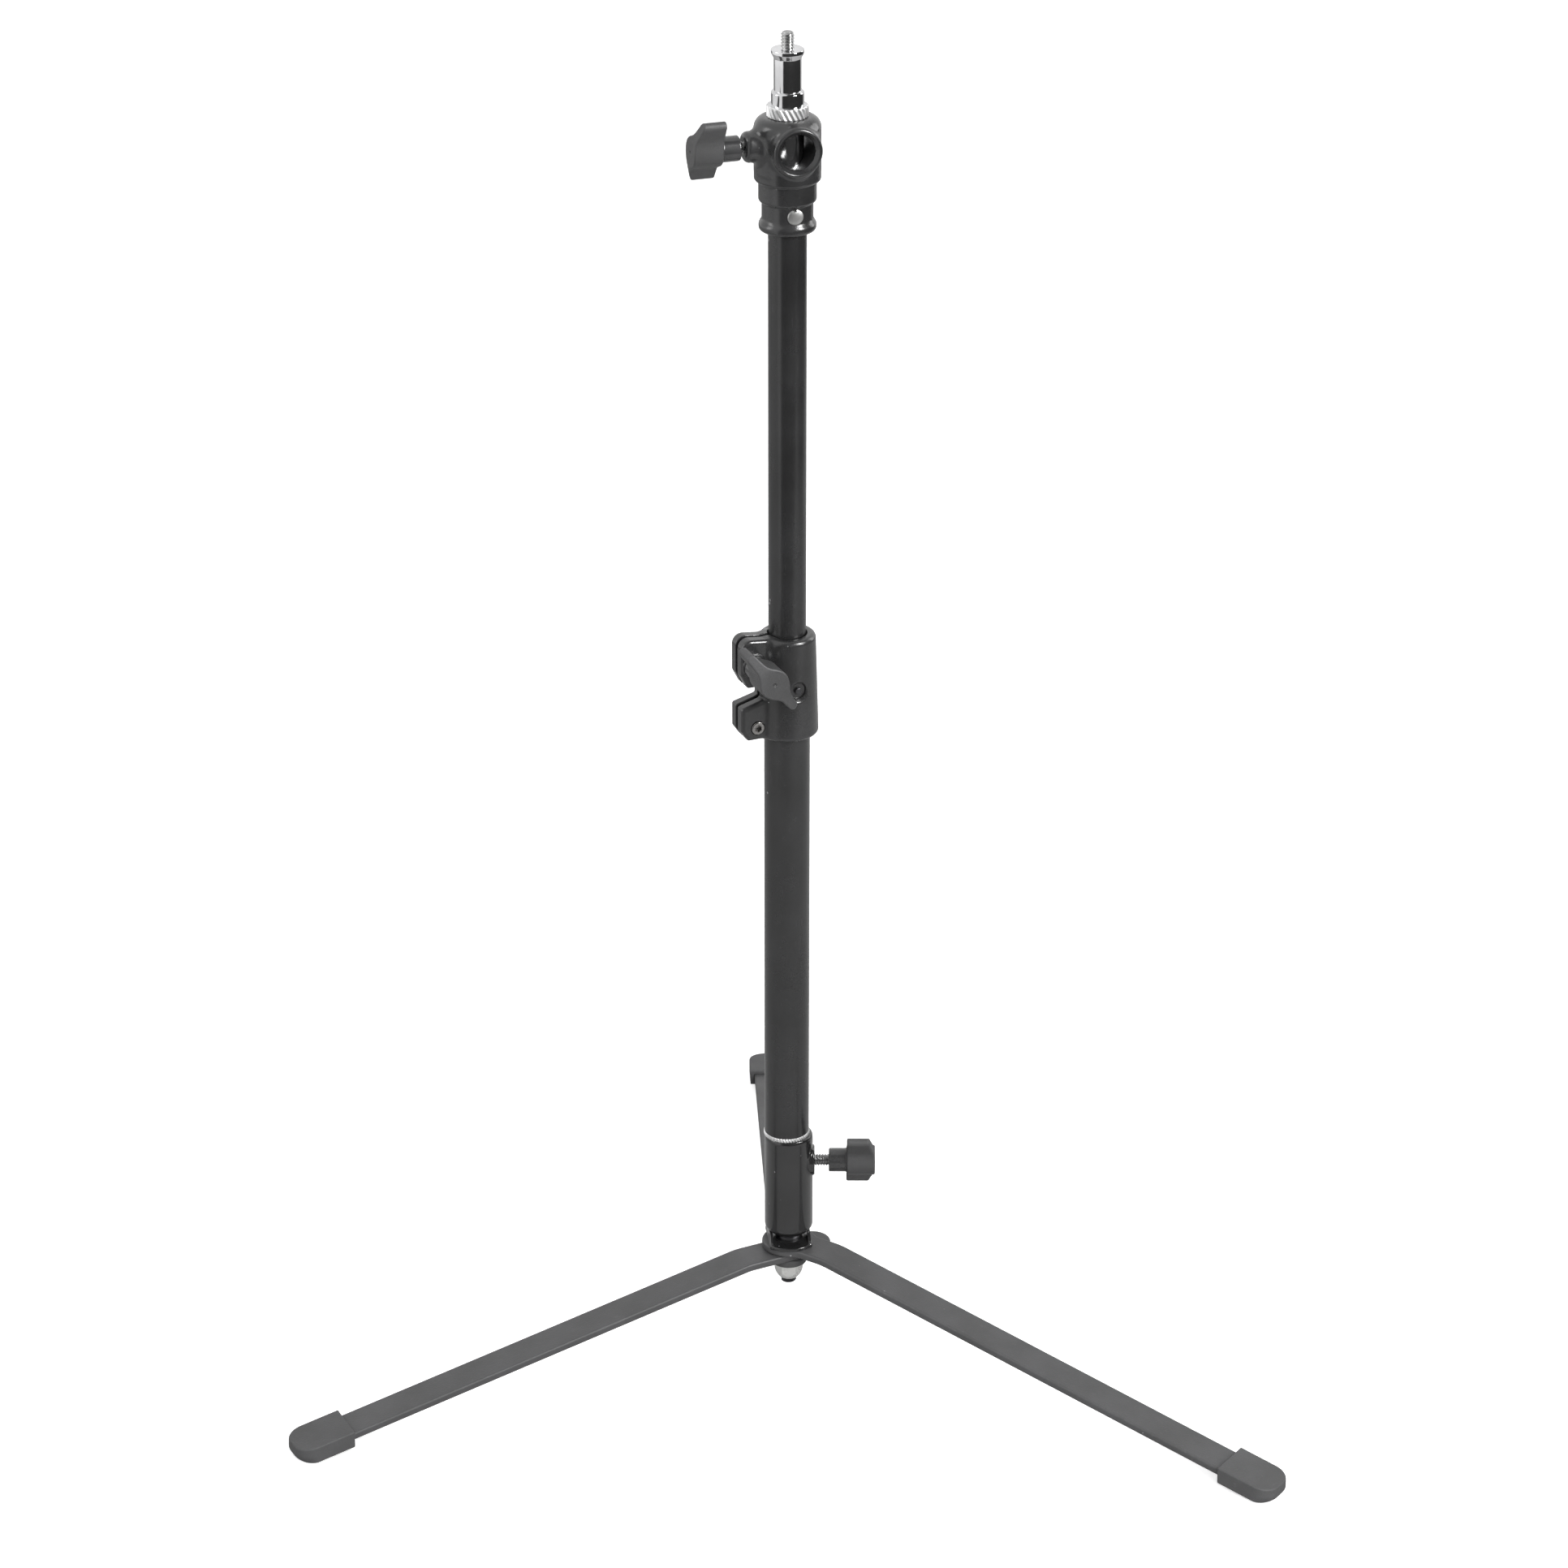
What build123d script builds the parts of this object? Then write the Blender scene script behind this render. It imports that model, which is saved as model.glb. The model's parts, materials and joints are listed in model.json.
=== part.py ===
from build123d import *
import os
from math import atan, sqrt, tan

# Low floor stand for a small light: three flat legs that fold about one bolt, a socket, and a
# two-section tube with a hand clamp and a receiver head for a 16 mm stud.
# Millimetres. Origin on the floor, on the pole's axis. +Z is up, -Y is the front, +X the right.

# --- fits -----------------------------------------------------------------------------------
running_gap = 0.05          # radial clearance of everything that turns or slides
held_gap = 0.01             # radial clearance of a piece that is held still in its hole
stud_radius = 7.98          # every 16 mm stud
stud_bore_radius = stud_radius + running_gap
screw_radius = 3.0
screw_bore_radius = screw_radius + running_gap
through = 40.0              # length of a cutter that runs right through its piece

# --- legs and hub ---------------------------------------------------------------------------
base_shift = 1.1            # the base sits this far to the right of the pole's axis
leg_width = 19.3
leg_thickness = 4.1
layer_step = 4.6            # from one leg layer to the next, washer included
top_leg_z = 55.0
leg_flat = 27.0             # flat part, from the bolt to the bend
bend_radius = 26.0
tip_line_z = 5.9            # height of the bar's top line, run on to the foot's tip
eye_radius = 14.0
tail_length = 23.5          # the middle leg runs past the bolt by this much
leg_angles = {"left": 207.1, "right": -33.9, "back": 92.2}
leg_layers = {"right": 0, "left": 1, "back": 2}

foot_length = 30.5
foot_width = 24.0
foot_reach = {"left": 283.5, "right": 298.0, "back": 298.0}   # bolt to a foot's tip, along the floor
bar_inset = 6.0             # rubber beyond the bar's end
foot_top_wall = 2.4
foot_under_wall = 2.5
foot_corner = 9.0
foot_rim = 1.6              # sloping rim round the foot's top

bolt_radius = 4.0
bolt_head_radius = 7.0
bolt_head_height = 3.9
bolt_tip = 2.5              # bolt shown below the lock nut
nut_flats = 13.0
nut_hex_height = 5.6
nut_collar_height = 2.4
nut_bevel_width = 0.6
nut_bevel_height = 0.5
nut_collar_edge = 1.2
washer_radius = 8.5
hub_washer_thickness = 1.0
lock_insert_radius = 5.0
lock_insert_inset = 0.6
stack_bottom = top_leg_z - 2 * layer_step - leg_thickness - hub_washer_thickness
nut_low = stack_bottom - nut_hex_height
collar_low = nut_low - nut_collar_height
lock_insert_low = collar_low + lock_insert_inset
lock_insert_high = nut_low - 0.2

bracket_turn = 7.0
bracket_radius = 15.5
bracket_half_width = 10.8
bracket_thickness = 1.8
ear_top_half_depth = 5.5

# --- socket and its lock --------------------------------------------------------------------
socket_radius = 12.65
socket_bottom = 61.3
socket_top = 118.0
socket_foot_radius = 10.6
socket_chamfer_height = 2.9
socket_bore_floor = 70.5
base_lock_z = 101.8
boss_reach = 14.6
boss_radius = 8.0
boss_plug_radius = 5.0
boss_edge = 0.7

# --- wing knobs and their screws ------------------------------------------------------------
knob_neck_radius = 6.2
knob_neck_length = 9.3
knob_head_length = 14.8
knob_tip_length = 11.5
knob_hub_radius = 7.6
wing_root_radius = 4.5
wing_blend = 4.0            # hollow between the hub and each wing
wing_tip_radius = 2.4
wing_tip_distance = 18.0
dimple_radius = 0.7
neck_edge = 0.6
knob_screw_depth = 12.0
pad_thickness = 1.6
pip_radius = 1.2
pip_length = 2.0
pad_start = stud_radius + 0.02     # the pads all but touch the stud
base_knob_tip = 22.0
base_knob_lean = 32.5
head_knob_tip = 24.6
head_knob_lean = -35.0
clamp_knob_lean = 38.0

# --- pole -----------------------------------------------------------------------------------
ring_height = 2.0
ring_radius = 11.9
plug_length = 10.0
foot_thread_radius = 5.0
stud_lead = 0.8             # bevel at a stud's lower end
lower_tube_radius = 11.55
lower_tube_bore = 10.25
lower_tube_top = 369.0
upper_tube_radius = 9.425
upper_tube_bore = 8.2
upper_tube_bottom = 334.0
skirt_bottom = 349.0
skirt_gap = 0.1
glide_height = 12.0
glide_lip = 2.0

# --- clamp ----------------------------------------------------------------------------------
clamp_turn = 24.0
clamp_bottom = 347.0
clamp_top = 402.3
clamp_radius_top = 14.3
clamp_radius_bottom = 15.9
bush_top = 399.0
ear_reach = 27.6
ear_half = 7.15
slit = 2.3
notch_reach = 15.2
notch_bottom = 369.8
notch_top = 377.3
lower_ear_top = 366.2
ear_chamfer = 4.6
ear_chamfer_height = 6.0
ear_corner = 6.0
ear_lift = 1.6              # the ears start above the casting's bottom rim
clamp_top_edge = 2.4
clamp_bottom_edge = 3.6
clamp_mouth_gap = 0.5       # round the upper tube, in the casting's top
hex_pocket_gap = 0.1
clamp_bolt_flats = 10.0
clamp_nut_flats = 7.0
pocket_depth = 3.0          # of the hexagons and the screw head in the ears
clamp_stud_reach = 20.6
clamp_stud_z = 389.0
clamp_screw_reach = 19.0
clamp_screw_z = 355.2
clamp_screw_radius = 2.0
screw_head_radius = 3.45
screw_head_gap = 0.15
screw_head_proud = 0.6
screw_key_flats = 3.0
screw_key_depth = 2.0
pin_z = 374.7
pin_radius = 1.8
pin_reach = 14.4
pin_recess_radius = 5.0
pin_recess_floor = 13.4
clamp_washer_thickness = 1.0
clamp_knob_start = ear_half + clamp_washer_thickness
knob_insert_flats = 10.0
knob_insert_length = 8.0
knob_insert_start = clamp_knob_start + 2.5

# --- head -----------------------------------------------------------------------------------
head_turn = 18.0
head_bottom = 612.4
head_flange_top = 618.0
head_step_low = 627.0
head_step_mid = 637.3
head_top = 669.1
head_body_radius = 16.2
head_mid_radius = 14.1
head_low_radius = 12.5
head_flange_radius = 13.9
head_shoulder = 5.2
head_step_drop = 0.2        # each step's underside slopes by this much
head_lip = 1.2
head_lip_height = 1.6
flange_edge_low = 1.4
flange_edge_high = 2.8
cross_z = 655.5
cross_bore_radius = 8.75
cross_boss_radius = 12.0
cross_boss_reach = 17.5
cross_boss_edge = 0.8
side_boss_radius = 7.4
side_boss_reach = 22.4
side_boss_edge = 2.2
stud_bore_floor = 641.0
tube_seat_top = 632.0
rivet_z = 622.2
rivet_radius = 2.0
rivet_head_radius = 3.95
rivet_seat = 0.7            # the rivet's heads start inside the skirt's surface
rivet_proud = 1.0
rivet_edge = 0.9

# --- stud -----------------------------------------------------------------------------------
shaft_bottom = 642.5
knurl_radius = 10.2
knurl_top = 674.8
collar_top = 681.8
neck_radius = 6.65
cone_bottom = 698.0
rim_bottom = 700.5
rim_top = 702.5
camera_thread_radius = 3.175
thread_lead = 0.6
collar_edge = 0.7
rim_edge = 0.3
knurl_edge = 0.5
stud_top = 710.5


def rod(radius, low, high):
    """A round bar on the Z axis."""
    return Pos(0, 0, low) * Cylinder(radius, high - low, align=(Align.CENTER, Align.CENTER, Align.MIN))


def tube(outer, inner, low, high):
    """A round tube on the Z axis."""
    return rod(outer, low, high) - rod(inner, low - 1, high + 1)


def hexagon_bar(flats, low, high):
    """A six-sided bar on the Z axis, by its width across the flats."""
    return Pos(0, 0, low) * extrude(RegularPolygon(flats / 2, 6, major_radius=False), high - low)


def turned(points):
    """A turned piece: a closed outline of (radius, height) points, revolved about Z."""
    outline = make_face(Polyline(*[(r, 0, z) for r, z in points], close=True))
    return revolve(outline, Axis.Z, 360)


def side_extrusion(points, width):
    """A shape drawn in the XZ plane and given a width along Y, centred."""
    face = make_face(Polyline(*[(x, 0, z) for x, z in points], close=True))
    return extrude(face, width / 2, dir=(0, 1, 0), both=True)


def sideways(x, y, z, direction):
    """A frame whose Z axis points along direction and whose X axis points up."""
    return Plane(origin=(x, y, z), x_dir=(0, 0, 1), z_dir=direction).location


def on_base(shape):
    """Moves a base piece from the pole's axis to the base's own axis."""
    return Pos(base_shift, 0, 0) * shape


# ---- legs, feet and the hub's fasteners ----------------------------------------------------

def layer_top(name):
    return top_leg_z - leg_layers[name] * layer_step


def leg_slope(name):
    return (layer_top(name) - tip_line_z) / (foot_reach[name] - leg_flat)


def bar_top(name, distance):
    """Height of a sloping bar's top face at a distance from the bolt."""
    return tip_line_z + (foot_reach[name] - distance) * leg_slope(name)


def leg(name):
    """A flat bar: hub end on the bolt, one soft bend, and a straight slope to the foot."""
    top = layer_top(name)
    under = top - leg_thickness
    angle = atan(leg_slope(name))
    drop = leg_thickness * sqrt(1 + leg_slope(name) ** 2)
    hub_end = -tail_length if name == "left" else -leg_width / 2
    bar_end = foot_reach[name] - bar_inset
    profile = [
        (hub_end, top),
        (leg_flat, top),
        (bar_end, bar_top(name, bar_end)),
        (bar_end, bar_top(name, bar_end) - drop),
        (leg_flat - leg_thickness * tan(angle / 2), under),
        (hub_end, under),
    ]
    bar = side_extrusion(profile, leg_width)
    bends = bar.edges().filter_by(Axis.Y).sort_by(lambda edge: abs(edge.center().X - leg_flat))[:2]
    under_bend = bends.sort_by(Axis.Z)[0].center()
    bar = fillet(bends.sort_by(Axis.Z)[-1], bend_radius + leg_thickness)
    across = bar.edges().filter_by(Axis.Y)
    bar = fillet(across.sort_by(lambda edge: (edge.center() - under_bend).length)[0], bend_radius)
    end_round = leg_width / 2
    corners = Pos(hub_end, 0, top) * Box(leg_width, leg_width + 2, through)
    bar -= corners - Pos(hub_end + end_round, 0, 0) * rod(end_round, 0, top + through)
    if name == "right":
        bar += rod(eye_radius, under, top)
    bar -= rod(bolt_radius + running_gap, under - 5, top + 5)
    return on_base(Rot(0, 0, leg_angles[name]) * bar)


def foot(name):
    """A rubber cap pushed over the bar's end; its lowest outer part is flat on the floor."""
    steep = sqrt(1 + leg_slope(name) ** 2)
    tip = foot_reach[name]
    inner = tip - foot_length
    bar_end = tip - bar_inset
    lift = foot_top_wall * steep
    drop = (leg_thickness + foot_under_wall) * steep
    profile = [
        (inner, bar_top(name, inner) + lift),
        (tip, bar_top(name, tip) + lift),
        (tip, bar_top(name, tip) - drop),
        (inner, bar_top(name, inner) - drop),
    ]
    cap = side_extrusion(profile, foot_width)
    cap = fillet(cap.edges().filter_by(Axis.Z).group_by(Axis.X)[-1], foot_corner)
    top_edges = cap.faces().sort_by(Axis.Z)[-1].edges().sort_by(Axis.X)[1:]
    cap = chamfer(top_edges, foot_rim)
    cap -= Pos(tip, 0, -through / 2) * Box(3 * foot_length, 2 * foot_width, through)
    pocket = [
        (inner - 1, bar_top(name, inner - 1)),
        (bar_end, bar_top(name, bar_end)),
        (bar_end, bar_top(name, bar_end) - leg_thickness * steep),
        (inner - 1, bar_top(name, inner - 1) - leg_thickness * steep),
    ]
    cap -= side_extrusion(pocket, leg_width)
    return on_base(Rot(0, 0, leg_angles[name]) * cap)


def leg_washers():
    """The two thin washers that part the three legs."""
    gap = layer_step - leg_thickness
    pieces = []
    for name in ("right", "left"):
        high = layer_top(name) - leg_thickness
        pieces.append(on_base(tube(washer_radius, bolt_radius + running_gap, high - gap, high)))
    return pieces


def hub_bolt():
    """Round-headed bolt that stands in the bracket's floor and carries the three legs."""
    floor_top = top_leg_z + bracket_thickness
    head = rod(bolt_head_radius, floor_top, floor_top + bolt_head_height)
    head = fillet(head.edges().sort_by(Axis.Z)[-1], bolt_head_height - 0.5)
    shank = rod(bolt_radius, collar_low - bolt_tip, floor_top)
    shank = chamfer(shank.edges().sort_by(Axis.Z)[0], thread_lead)
    return on_base(head + shank)


def hub_lock_nut():
    """Hexagonal lock nut with the round collar that grips its insert."""
    body = hexagon_bar(nut_flats, nut_low, stack_bottom)
    corner = nut_flats / sqrt(3)
    body &= turned([
        (0, nut_low),
        (corner - nut_bevel_width, nut_low),
        (corner, nut_low + nut_bevel_height),
        (corner, stack_bottom - nut_bevel_height),
        (corner - nut_bevel_width, stack_bottom),
        (0, stack_bottom),
    ])
    collar = rod(nut_flats / 2 - nut_bevel_height, collar_low, nut_low)
    body += fillet(collar.edges().sort_by(Axis.Z)[0], nut_collar_edge)
    body -= rod(bolt_radius + held_gap, collar_low - 1, stack_bottom + 1)
    body -= rod(lock_insert_radius, lock_insert_low, lock_insert_high)
    return on_base(body)


def lock_nut_insert():
    return on_base(tube(lock_insert_radius, bolt_radius + held_gap, lock_insert_low, lock_insert_high))


def hub_washer():
    return on_base(tube(washer_radius, bolt_radius + running_gap, stack_bottom,
                        stack_bottom + hub_washer_thickness))


def hub_bracket():
    """Bent plate: a round-fronted floor on the legs and two ears up to the socket."""
    floor_top = top_leg_z + bracket_thickness
    body = rod(bracket_radius, top_leg_z, floor_top)
    body &= Pos(0, 0, top_leg_z) * Box(2 * bracket_half_width, 60, 20)
    depth = sqrt(bracket_radius ** 2 - bracket_half_width ** 2)
    ear_outline = [
        (-depth, top_leg_z),
        (-depth, floor_top),
        (-ear_top_half_depth, socket_bottom),
        (ear_top_half_depth, socket_bottom),
        (depth, floor_top),
        (depth, top_leg_z),
    ]
    ear_face = make_face(Polyline(*[(0, y, z) for y, z in ear_outline], close=True))
    ear = extrude(ear_face, bracket_thickness, dir=(1, 0, 0))
    body += Pos(-bracket_half_width, 0, 0) * ear
    body += Pos(bracket_half_width - bracket_thickness, 0, 0) * ear
    body -= rod(bolt_radius + held_gap, top_leg_z - 5, floor_top + 1)
    return on_base(Rot(0, 0, bracket_turn) * body)


# ---- socket and its lock -------------------------------------------------------------------

def base_socket():
    """Steel socket with a closed, chamfered foot, bored for the pole's stud."""
    body = on_base(turned([
        (0, socket_bottom),
        (socket_foot_radius, socket_bottom),
        (socket_radius, socket_bottom + socket_chamfer_height),
        (socket_radius, socket_top),
        (0, socket_top),
    ]))
    body -= rod(stud_bore_radius, socket_bore_floor, socket_top + 1)
    return body - sideways(0, 0, base_lock_z, (1, 0, 0)) * rod(boss_plug_radius, 0, through)


def socket_boss():
    """Threaded boss pressed into the socket's side for the lock screw."""
    axis = sideways(0, 0, base_lock_z, (1, 0, 0))
    flange = fillet((axis * rod(boss_radius, 0, boss_reach)).edges().sort_by(Axis.X)[-1], boss_edge)
    flange -= on_base(rod(socket_radius, 0, socket_top))
    plug = axis * rod(boss_plug_radius, 0, boss_reach - 1) - rod(stud_bore_radius, 0, socket_top)
    return flange + plug - axis * rod(screw_bore_radius, 0, through)


# ---- wing knobs ----------------------------------------------------------------------------

def wing_outline():
    """Seen along its screw: a round hub and two wings that taper to round tips."""
    outline = Circle(knob_hub_radius)
    for side in (1, -1):
        circles = [Circle(wing_root_radius), Pos(side * wing_tip_distance, 0) * Circle(wing_tip_radius)]
        outline += make_face(make_hull([edge for circle in circles for edge in circle.edges()]))
    hollows = [corner for corner in outline.vertices() if abs(Vector(corner).length - knob_hub_radius) < 0.01]
    return fillet(hollows, wing_blend)


def wing_knob(start, lean, hole_radius, hole_depth):
    """Neck towards the stand, then the winged head whose outer face falls away to the tips."""
    head_start = start + knob_neck_length
    tip = wing_tip_distance + wing_tip_radius
    head = Pos(0, 0, head_start) * extrude(wing_outline(), knob_head_length)
    side = side_extrusion([
        (-tip - 1, head_start),
        (-tip - 1, head_start + knob_tip_length),
        (-knob_hub_radius, head_start + knob_head_length),
        (knob_hub_radius, head_start + knob_head_length),
        (tip + 1, head_start + knob_tip_length),
        (tip + 1, head_start),
    ], 4 * knob_hub_radius)
    head &= side
    neck = rod(knob_neck_radius, start, head_start)
    neck = chamfer(neck.edges().sort_by(Axis.Z)[0], neck_edge)
    body = neck + head
    body -= rod(hole_radius, start - 1, start + hole_depth)
    face_z = head_start + knob_head_length
    body -= Pos(0, 0, face_z - dimple_radius) * Cone(0.05, dimple_radius, 2 * dimple_radius)
    return Rot(0, 0, lean) * body


def knob_screw(knob_start):
    """Screw fixed in the knob; a socket in its end holds the pad's pip."""
    start = pad_start + pad_thickness
    return rod(screw_radius, start, knob_start + knob_screw_depth) - rod(
        pip_radius + running_gap, start - 1, start + pip_length + 0.2)


def screw_pad():
    """Brass pad at the screw's end; it doesn't turn, and its pip holds it in the screw."""
    disc = rod(screw_radius, pad_start, pad_start + pad_thickness)
    return disc + rod(pip_radius, pad_start + pad_thickness, pad_start + pad_thickness + pip_length)


base_lock = sideways(0, 0, base_lock_z, (1, 0, 0))
head_lock = Rot(0, 0, head_turn) * sideways(0, 0, cross_z, (-1, 0, 0))


# ---- pole ----------------------------------------------------------------------------------

def pole_foot():
    """Turned adapter: a 16 mm stud for the socket, a ribbed ring and a threaded end above."""
    bottom = socket_bore_floor + 0.5
    ring_top = socket_top + ring_height
    return turned([
        (0, bottom),
        (stud_radius - stud_lead, bottom),
        (stud_radius, bottom + stud_lead),
        (stud_radius, socket_top),
        (ring_radius, socket_top),
        (ring_radius, ring_top),
        (foot_thread_radius, ring_top),
        (foot_thread_radius, ring_top + plug_length - 1),
        (0, ring_top + plug_length - 1),
    ])


def tube_plug():
    """Threaded plug pressed into the foot of the lower tube."""
    low = socket_top + ring_height
    return tube(lower_tube_bore, foot_thread_radius + held_gap, low, low + plug_length)


def lower_tube():
    return tube(lower_tube_radius, lower_tube_bore, socket_top + ring_height, lower_tube_top)


def clamp_axis(reach, z):
    """Frame on the slit's plane, Z axis out through the clamp's front ears."""
    return Rot(0, 0, clamp_turn) * sideways(-reach, 0, z, (0, -1, 0))


def slit_cutter():
    return Pos(-through / 2, 0, (clamp_bottom + clamp_top) / 2) * Box(through, slit, clamp_top - clamp_bottom + 2)


def guide_bush():
    """Split plastic sleeve above the lower tube, with a skirt inside it; the upper tube runs in it."""
    inner = upper_tube_radius + running_gap
    body = tube(lower_tube_bore - skirt_gap, inner, skirt_bottom, lower_tube_top)
    body += tube(lower_tube_radius, inner, lower_tube_top, bush_top)
    body -= slit_cutter()
    return Rot(0, 0, clamp_turn) * body - clamp_axis(0, pin_z) * rod(pin_radius + held_gap, 0, through)


def glide_bush():
    """Ring on the upper tube's foot that keeps it centred in the lower tube."""
    low = upper_tube_bottom - glide_lip
    outer = lower_tube_bore - running_gap
    body = tube(outer, upper_tube_radius + running_gap, upper_tube_bottom, low + glide_height)
    return body + tube(outer, upper_tube_bore, low, upper_tube_bottom)


def rivet_cutter():
    hole = rod(rivet_radius + held_gap, -through / 2, through / 2)
    return Rot(0, 0, head_turn) * sideways(0, 0, rivet_z, (0, -1, 0)) * hole


def upper_tube():
    low = upper_tube_bottom + running_gap
    return tube(upper_tube_radius, upper_tube_bore, low, tube_seat_top) - rivet_cutter()


# ---- clamp ---------------------------------------------------------------------------------

def ear_plates():
    """Both ear pairs as one plate, before the slit parts front from back."""
    outline = [
        (0, clamp_bottom + ear_lift),
        (-ear_reach + ear_chamfer, clamp_bottom + ear_lift),
        (-ear_reach, clamp_bottom + ear_lift + ear_chamfer_height),
        (-ear_reach, lower_ear_top),
        (-notch_reach, notch_bottom),
        (-notch_reach, notch_top),
        (-ear_reach + ear_chamfer, notch_top),
        (-ear_reach, notch_top + ear_chamfer_height),
        (-ear_reach, clamp_top),
        (0, clamp_top),
    ]
    plates = side_extrusion(outline, 2 * ear_half)
    corner = plates.edges().filter_by(Axis.Y).group_by(Axis.X)[0].sort_by(Axis.Z)[-1]
    return fillet(corner, ear_corner)


def clamp_collar():
    """Cast clamp: tapering sleeve, slit on one side, an ear pair for each tube."""
    sleeve = Pos(0, 0, clamp_bottom) * Cone(
        clamp_radius_bottom, clamp_radius_top, clamp_top - clamp_bottom,
        align=(Align.CENTER, Align.CENTER, Align.MIN))
    rims = sleeve.edges().filter_by(GeomType.CIRCLE).sort_by(Axis.Z)
    sleeve = fillet(rims[-1], clamp_top_edge)
    sleeve = fillet(sleeve.edges().filter_by(GeomType.CIRCLE).sort_by(Axis.Z)[0], clamp_bottom_edge)
    body = sleeve + ear_plates()
    body -= rod(lower_tube_radius, clamp_bottom - 1, bush_top)
    body -= rod(upper_tube_radius + clamp_mouth_gap, bush_top, clamp_top + 1)
    body -= slit_cutter()
    stud = sideways(-clamp_stud_reach, 0, clamp_stud_z, (0, -1, 0))
    screw = sideways(-clamp_screw_reach, 0, clamp_screw_z, (0, -1, 0))
    pin = sideways(0, 0, pin_z, (0, -1, 0))
    cutters = [
        stud * rod(screw_bore_radius, -through, through),
        stud * hexagon_bar(clamp_bolt_flats + hex_pocket_gap, -through, pocket_depth - ear_half),
        screw * rod(clamp_screw_radius + held_gap, -through, through),
        screw * rod(screw_head_radius + screw_head_gap, ear_half - pocket_depth, through),
        screw * hexagon_bar(clamp_nut_flats + hex_pocket_gap, -through, pocket_depth - ear_half),
        pin * rod(pin_recess_radius, pin_recess_floor, through),
        pin * rod(pin_radius + held_gap, 0, through),
    ]
    for cutter in cutters:
        body -= cutter
    return Rot(0, 0, clamp_turn) * body


def bush_pin():
    """Pin through the casting that stops the guide bush from turning or creeping out."""
    pin = rod(pin_radius, upper_tube_radius + 0.5, pin_reach)
    return clamp_axis(0, pin_z) * fillet(pin.edges().sort_by(Axis.Z)[-1], 0.5)


def clamp_stud():
    """Hexagon-headed bolt through the upper ears, its head held in the back ear's pocket."""
    shank = rod(screw_radius, pocket_depth - ear_half, clamp_knob_start + knob_neck_length + 3)
    head = hexagon_bar(clamp_bolt_flats, -ear_half - 1, pocket_depth - ear_half)
    return clamp_axis(clamp_stud_reach, clamp_stud_z) * (head + shank)


def clamp_washer():
    ring = tube(knob_neck_radius, screw_bore_radius, ear_half, clamp_knob_start)
    return clamp_axis(clamp_stud_reach, clamp_stud_z) * ring


def knob_insert_bar():
    return Rot(0, 0, clamp_knob_lean) * hexagon_bar(
        knob_insert_flats, knob_insert_start, knob_insert_start + knob_insert_length)


def clamp_knob_insert():
    """Threaded hexagon moulded into the clamp's knob."""
    body = knob_insert_bar() - rod(screw_bore_radius, 0, through)
    return clamp_axis(clamp_stud_reach, clamp_stud_z) * body


def clamp_knob():
    """Wing knob that draws the upper ears together."""
    body = wing_knob(clamp_knob_start, clamp_knob_lean, screw_bore_radius, knob_neck_length + 6)
    return clamp_axis(clamp_stud_reach, clamp_stud_z) * (body - knob_insert_bar())


def collar_screw():
    """Socket-headed screw through the lower ears."""
    face = ear_half + screw_head_proud
    shank = rod(clamp_screw_radius, -ear_half - 0.5, ear_half - pocket_depth)
    head = rod(screw_head_radius, ear_half - pocket_depth, face)
    head = fillet(head.edges().sort_by(Axis.Z)[-1], 0.4)
    body = head + shank - hexagon_bar(screw_key_flats, face - screw_key_depth, face + 1)
    return clamp_axis(clamp_screw_reach, clamp_screw_z) * body


def collar_nut():
    body = hexagon_bar(clamp_nut_flats, -ear_half, pocket_depth - ear_half)
    body -= rod(clamp_screw_radius + held_gap, -through, 0)
    return clamp_axis(clamp_screw_reach, clamp_screw_z) * body


# ---- head and stud -------------------------------------------------------------------------

def head_casting():
    """Cast receiver: stepped skirt on the tube, upright stud bore, cross bore and side boss."""
    body = turned([
        (0, head_bottom),
        (head_flange_radius - head_lip, head_bottom),
        (head_flange_radius, head_bottom + flange_edge_low),
        (head_flange_radius, head_bottom + flange_edge_high),
        (head_low_radius, head_flange_top),
        (head_low_radius, head_step_low - head_step_drop),
        (head_mid_radius - head_lip, head_step_low),
        (head_mid_radius, head_step_low + head_lip_height),
        (head_mid_radius, head_step_mid - head_step_drop),
        (head_body_radius - head_lip, head_step_mid),
        (head_body_radius, head_step_mid + head_lip_height),
        (head_body_radius, head_top),
        (0, head_top),
    ])
    body = fillet(body.edges().filter_by(GeomType.CIRCLE).sort_by(Axis.Z)[-1], head_shoulder)
    cross = sideways(0, 0, cross_z, (0, -1, 0)) * rod(cross_boss_radius, -cross_boss_reach, cross_boss_reach)
    body += chamfer(cross.edges().filter_by(GeomType.CIRCLE), cross_boss_edge)
    side = sideways(0, 0, cross_z, (-1, 0, 0)) * rod(side_boss_radius, 0, side_boss_reach)
    body += fillet(side.edges().sort_by(Axis.X)[0], side_boss_edge)
    body -= rod(stud_bore_radius, stud_bore_floor, head_top + 1)
    body -= rod(upper_tube_radius, head_bottom - 1, tube_seat_top)
    body -= sideways(0, 0, cross_z, (0, -1, 0)) * rod(cross_bore_radius, -through, through)
    body -= sideways(0, 0, cross_z, (-1, 0, 0)) * rod(screw_bore_radius, 0, through)
    return Rot(0, 0, head_turn) * body - rivet_cutter()


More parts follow.
